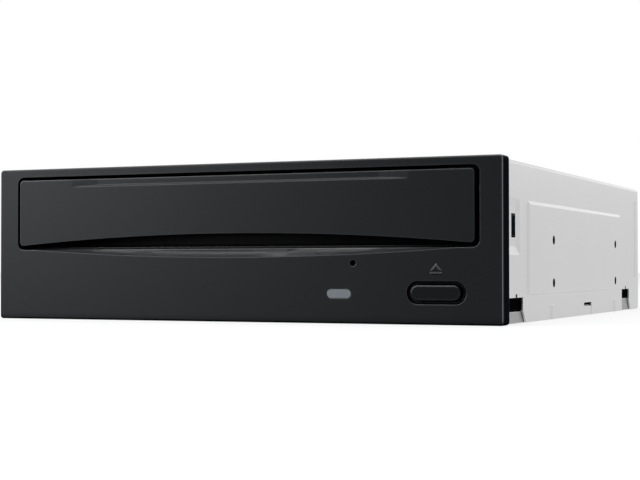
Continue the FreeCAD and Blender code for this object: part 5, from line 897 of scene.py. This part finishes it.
# %% Gold blades along both tongues
BLADE_WIDTH, BLADE_LENGTH, BLADE_THICKNESS = 0.62, 6.2, 0.14
SOCKET_WALL = 2.4        # from a socket's end to its tongue
blade = bmesh.new()
block(blade, (0, -BLADE_LENGTH / 2, BLADE_THICKNESS / 2), (BLADE_WIDTH, BLADE_LENGTH, BLADE_THICKNESS))
nose = [e for e in blade.edges
        if all(v.co.y > -0.01 * MM and v.co.z < BLADE_THICKNESS * 0.5 * MM for v in e.verts)]
soften(blade, nose, BLADE_THICKNESS * 0.6, 2)
places = []
for label, count in (("power_connector", 15), ("data_connector", 7)):
    low, high = box_mm(label)
    left, right = low.x + SOCKET_WALL, high.x - SOCKET_WALL
    pitch = (right - left - 1.0) / count
    under_tongue = (low.z + high.z) / 2 - 0.69
    places += [at(left + 1.2 + pitch * (i + 0.4), high.y - 1.15, under_tongue) for i in range(count)]
piece("serial_contacts", copies(blade, places), GOLD, "housing")
print("contact blades:", len(places))

# %% [markdown]
# ## Lead screw
# The sled is driven by a coarse two-start screw. Extruding a two-lobed section while it turns gives
# such a thread directly: spin with a step along the axis is a screw. A turned collar holds it in its
# bracket. The axis leans with the whole traverse.

# %% Two-start screw from a turning section
THREAD_LENGTH, THREAD_RADIUS, THREAD_STEPS, THREAD_TURNS = 82.0, 1.5, 330, 27.0
COLLAR = [(1.6, 11.9), (2.2, 12.0), (2.2, 12.8), (1.6, 12.9)]
bm = bmesh.new()
section = bmesh.ops.create_circle(bm, segments=20, radius=THREAD_RADIUS * MM, cap_ends=True)
for vert in section["verts"]:
    angle = math.atan2(vert.co.y, vert.co.x)
    vert.co *= 0.86 + 0.14 * abs(math.cos(angle)) ** 0.7
bmesh.ops.spin(bm, geom=bm.faces[:] + bm.edges[:] + bm.verts[:], cent=(0, 0, 0), axis=(0, 0, 1),
               dvec=(0, 0, THREAD_LENGTH / THREAD_STEPS * MM), angle=THREAD_TURNS * 2 * math.pi,
               steps=THREAD_STEPS, use_merge=False)
bmesh.ops.remove_doubles(bm, verts=bm.verts, dist=0.0000005)
turned(bm, COLLAR)
bmesh.ops.transform(bm, verts=bm.verts, matrix=LEAN @ at(-36.5, -34.0, 19.5, -90, "X"))
lead_screw = piece("lead_screw_thread", bm, FINISH["thread_steel"], "feed_screw",
                   smooth=True)
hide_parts("lead_screw")
print("screw faces:", len(lead_screw.data.polygons))

# %% [markdown]
# ## Legs of the chips
# Flat packages stand on bent legs. One leg is a line of four vertices drawn out to its width and given
# a thickness; copies of it go round the four sides of each package, or two sides of the memory's.

# %% Bent legs round the three packages
LEG_LINE = ((-0.1, 0), (0.35, 0), (0.7, -0.58), (1.2, -0.6))   # out from the package, and down
LEG_WIDTH, LEG_THICKNESS, LEG_START = 0.34, 0.12, 0.68
leg = bmesh.new()
run = [leg.verts.new((x * MM, -LEG_WIDTH / 2 * MM, z * MM)) for x, z in LEG_LINE]
edges = [leg.edges.new(pair) for pair in zip(run, run[1:])]
wide = bmesh.ops.extrude_edge_only(leg, edges=edges)["geom"]
bmesh.ops.translate(leg, verts=[v for v in wide if isinstance(v, bmesh.types.BMVert)],
                    vec=(0, LEG_WIDTH * MM, 0))
bmesh.ops.solidify(leg, geom=leg.faces[:], thickness=LEG_THICKNESS * MM)
places = []
for label, pitch, sides in (("main_chip", 0.8, (0, 90, 180, 270)),
                            ("driver_chip", 0.8, (0, 90, 180, 270)), ("memory_chip", 1.27, (90, 270))):
    low, high = box_mm(label)
    middle, half = (low + high) / 2, (high - low) / 2
    for turn in sides:
        reach, width = (half.y, half.x) if turn in (90, 270) else (half.x, half.y)
        count = int((2 * width - 1.0) / pitch)
        places += [at(middle.x, middle.y, low.z + LEG_START, turn, "Z")
                   @ at(reach, (i - (count - 1) / 2) * pitch, 0) for i in range(count)]
piece("chip_legs", copies(leg, places), FINISH["cap_sleeve"], "housing")
print("legs:", len(places))

# %% [markdown]
# ## Small parts on the boards
# Between the packages stand rows of tiny resistors: a dark body with tinned ends. Their places follow
# the rows of a layout, with a seeded jitter so that no two rows match, and stay clear of every larger
# part.

# %% Free places on the main board
COLUMNS, ROWS, COLUMN_STEP, ROW_STEP = 12, 7, 9, 8.2
MARGIN, JITTER, CLEAR = 9, 1.5, 3
random.seed(7)
taken = [box_mm(label) for label in ("main_chip", "driver_chip", "memory_chip", "capacitors",
                                     "cable_sockets", "power_connector", "data_connector")]
low, high = box_mm("main_board")
places = []
for column in range(COLUMNS):
    for row in range(ROWS):
        x = low.x + MARGIN + column * COLUMN_STEP + random.uniform(-JITTER, JITTER)
        y = low.y + MARGIN + row * ROW_STEP + random.uniform(-JITTER, JITTER)
        if all(x < a.x - CLEAR or x > b.x + CLEAR or y < a.y - CLEAR or y > b.y + CLEAR
               for a, b in taken):
            places.append(at(x, y, high.z, random.choice((0, 90)), "Z"))
print("places:", len(places))

# %% Resistor bodies and their tinned ends
core = bmesh.new()
block(core, (0, 0, 0.27), (1.3, 0.85, 0.46))
soften(core, core.edges[:], 0.05)
piece("board_resistors", copies(core, places), FINISH["chip_black"], "housing")
ends = bmesh.new()
for middle in (-0.8, 0.8):
    block(ends, (middle, 0, 0.25), (0.36, 0.9, 0.5))
soften(ends, ends.edges[:], 0.06)
piece("resistor_ends", copies(ends, places), FINISH["cap_sleeve"], "housing")
print("resistors:", len(places))
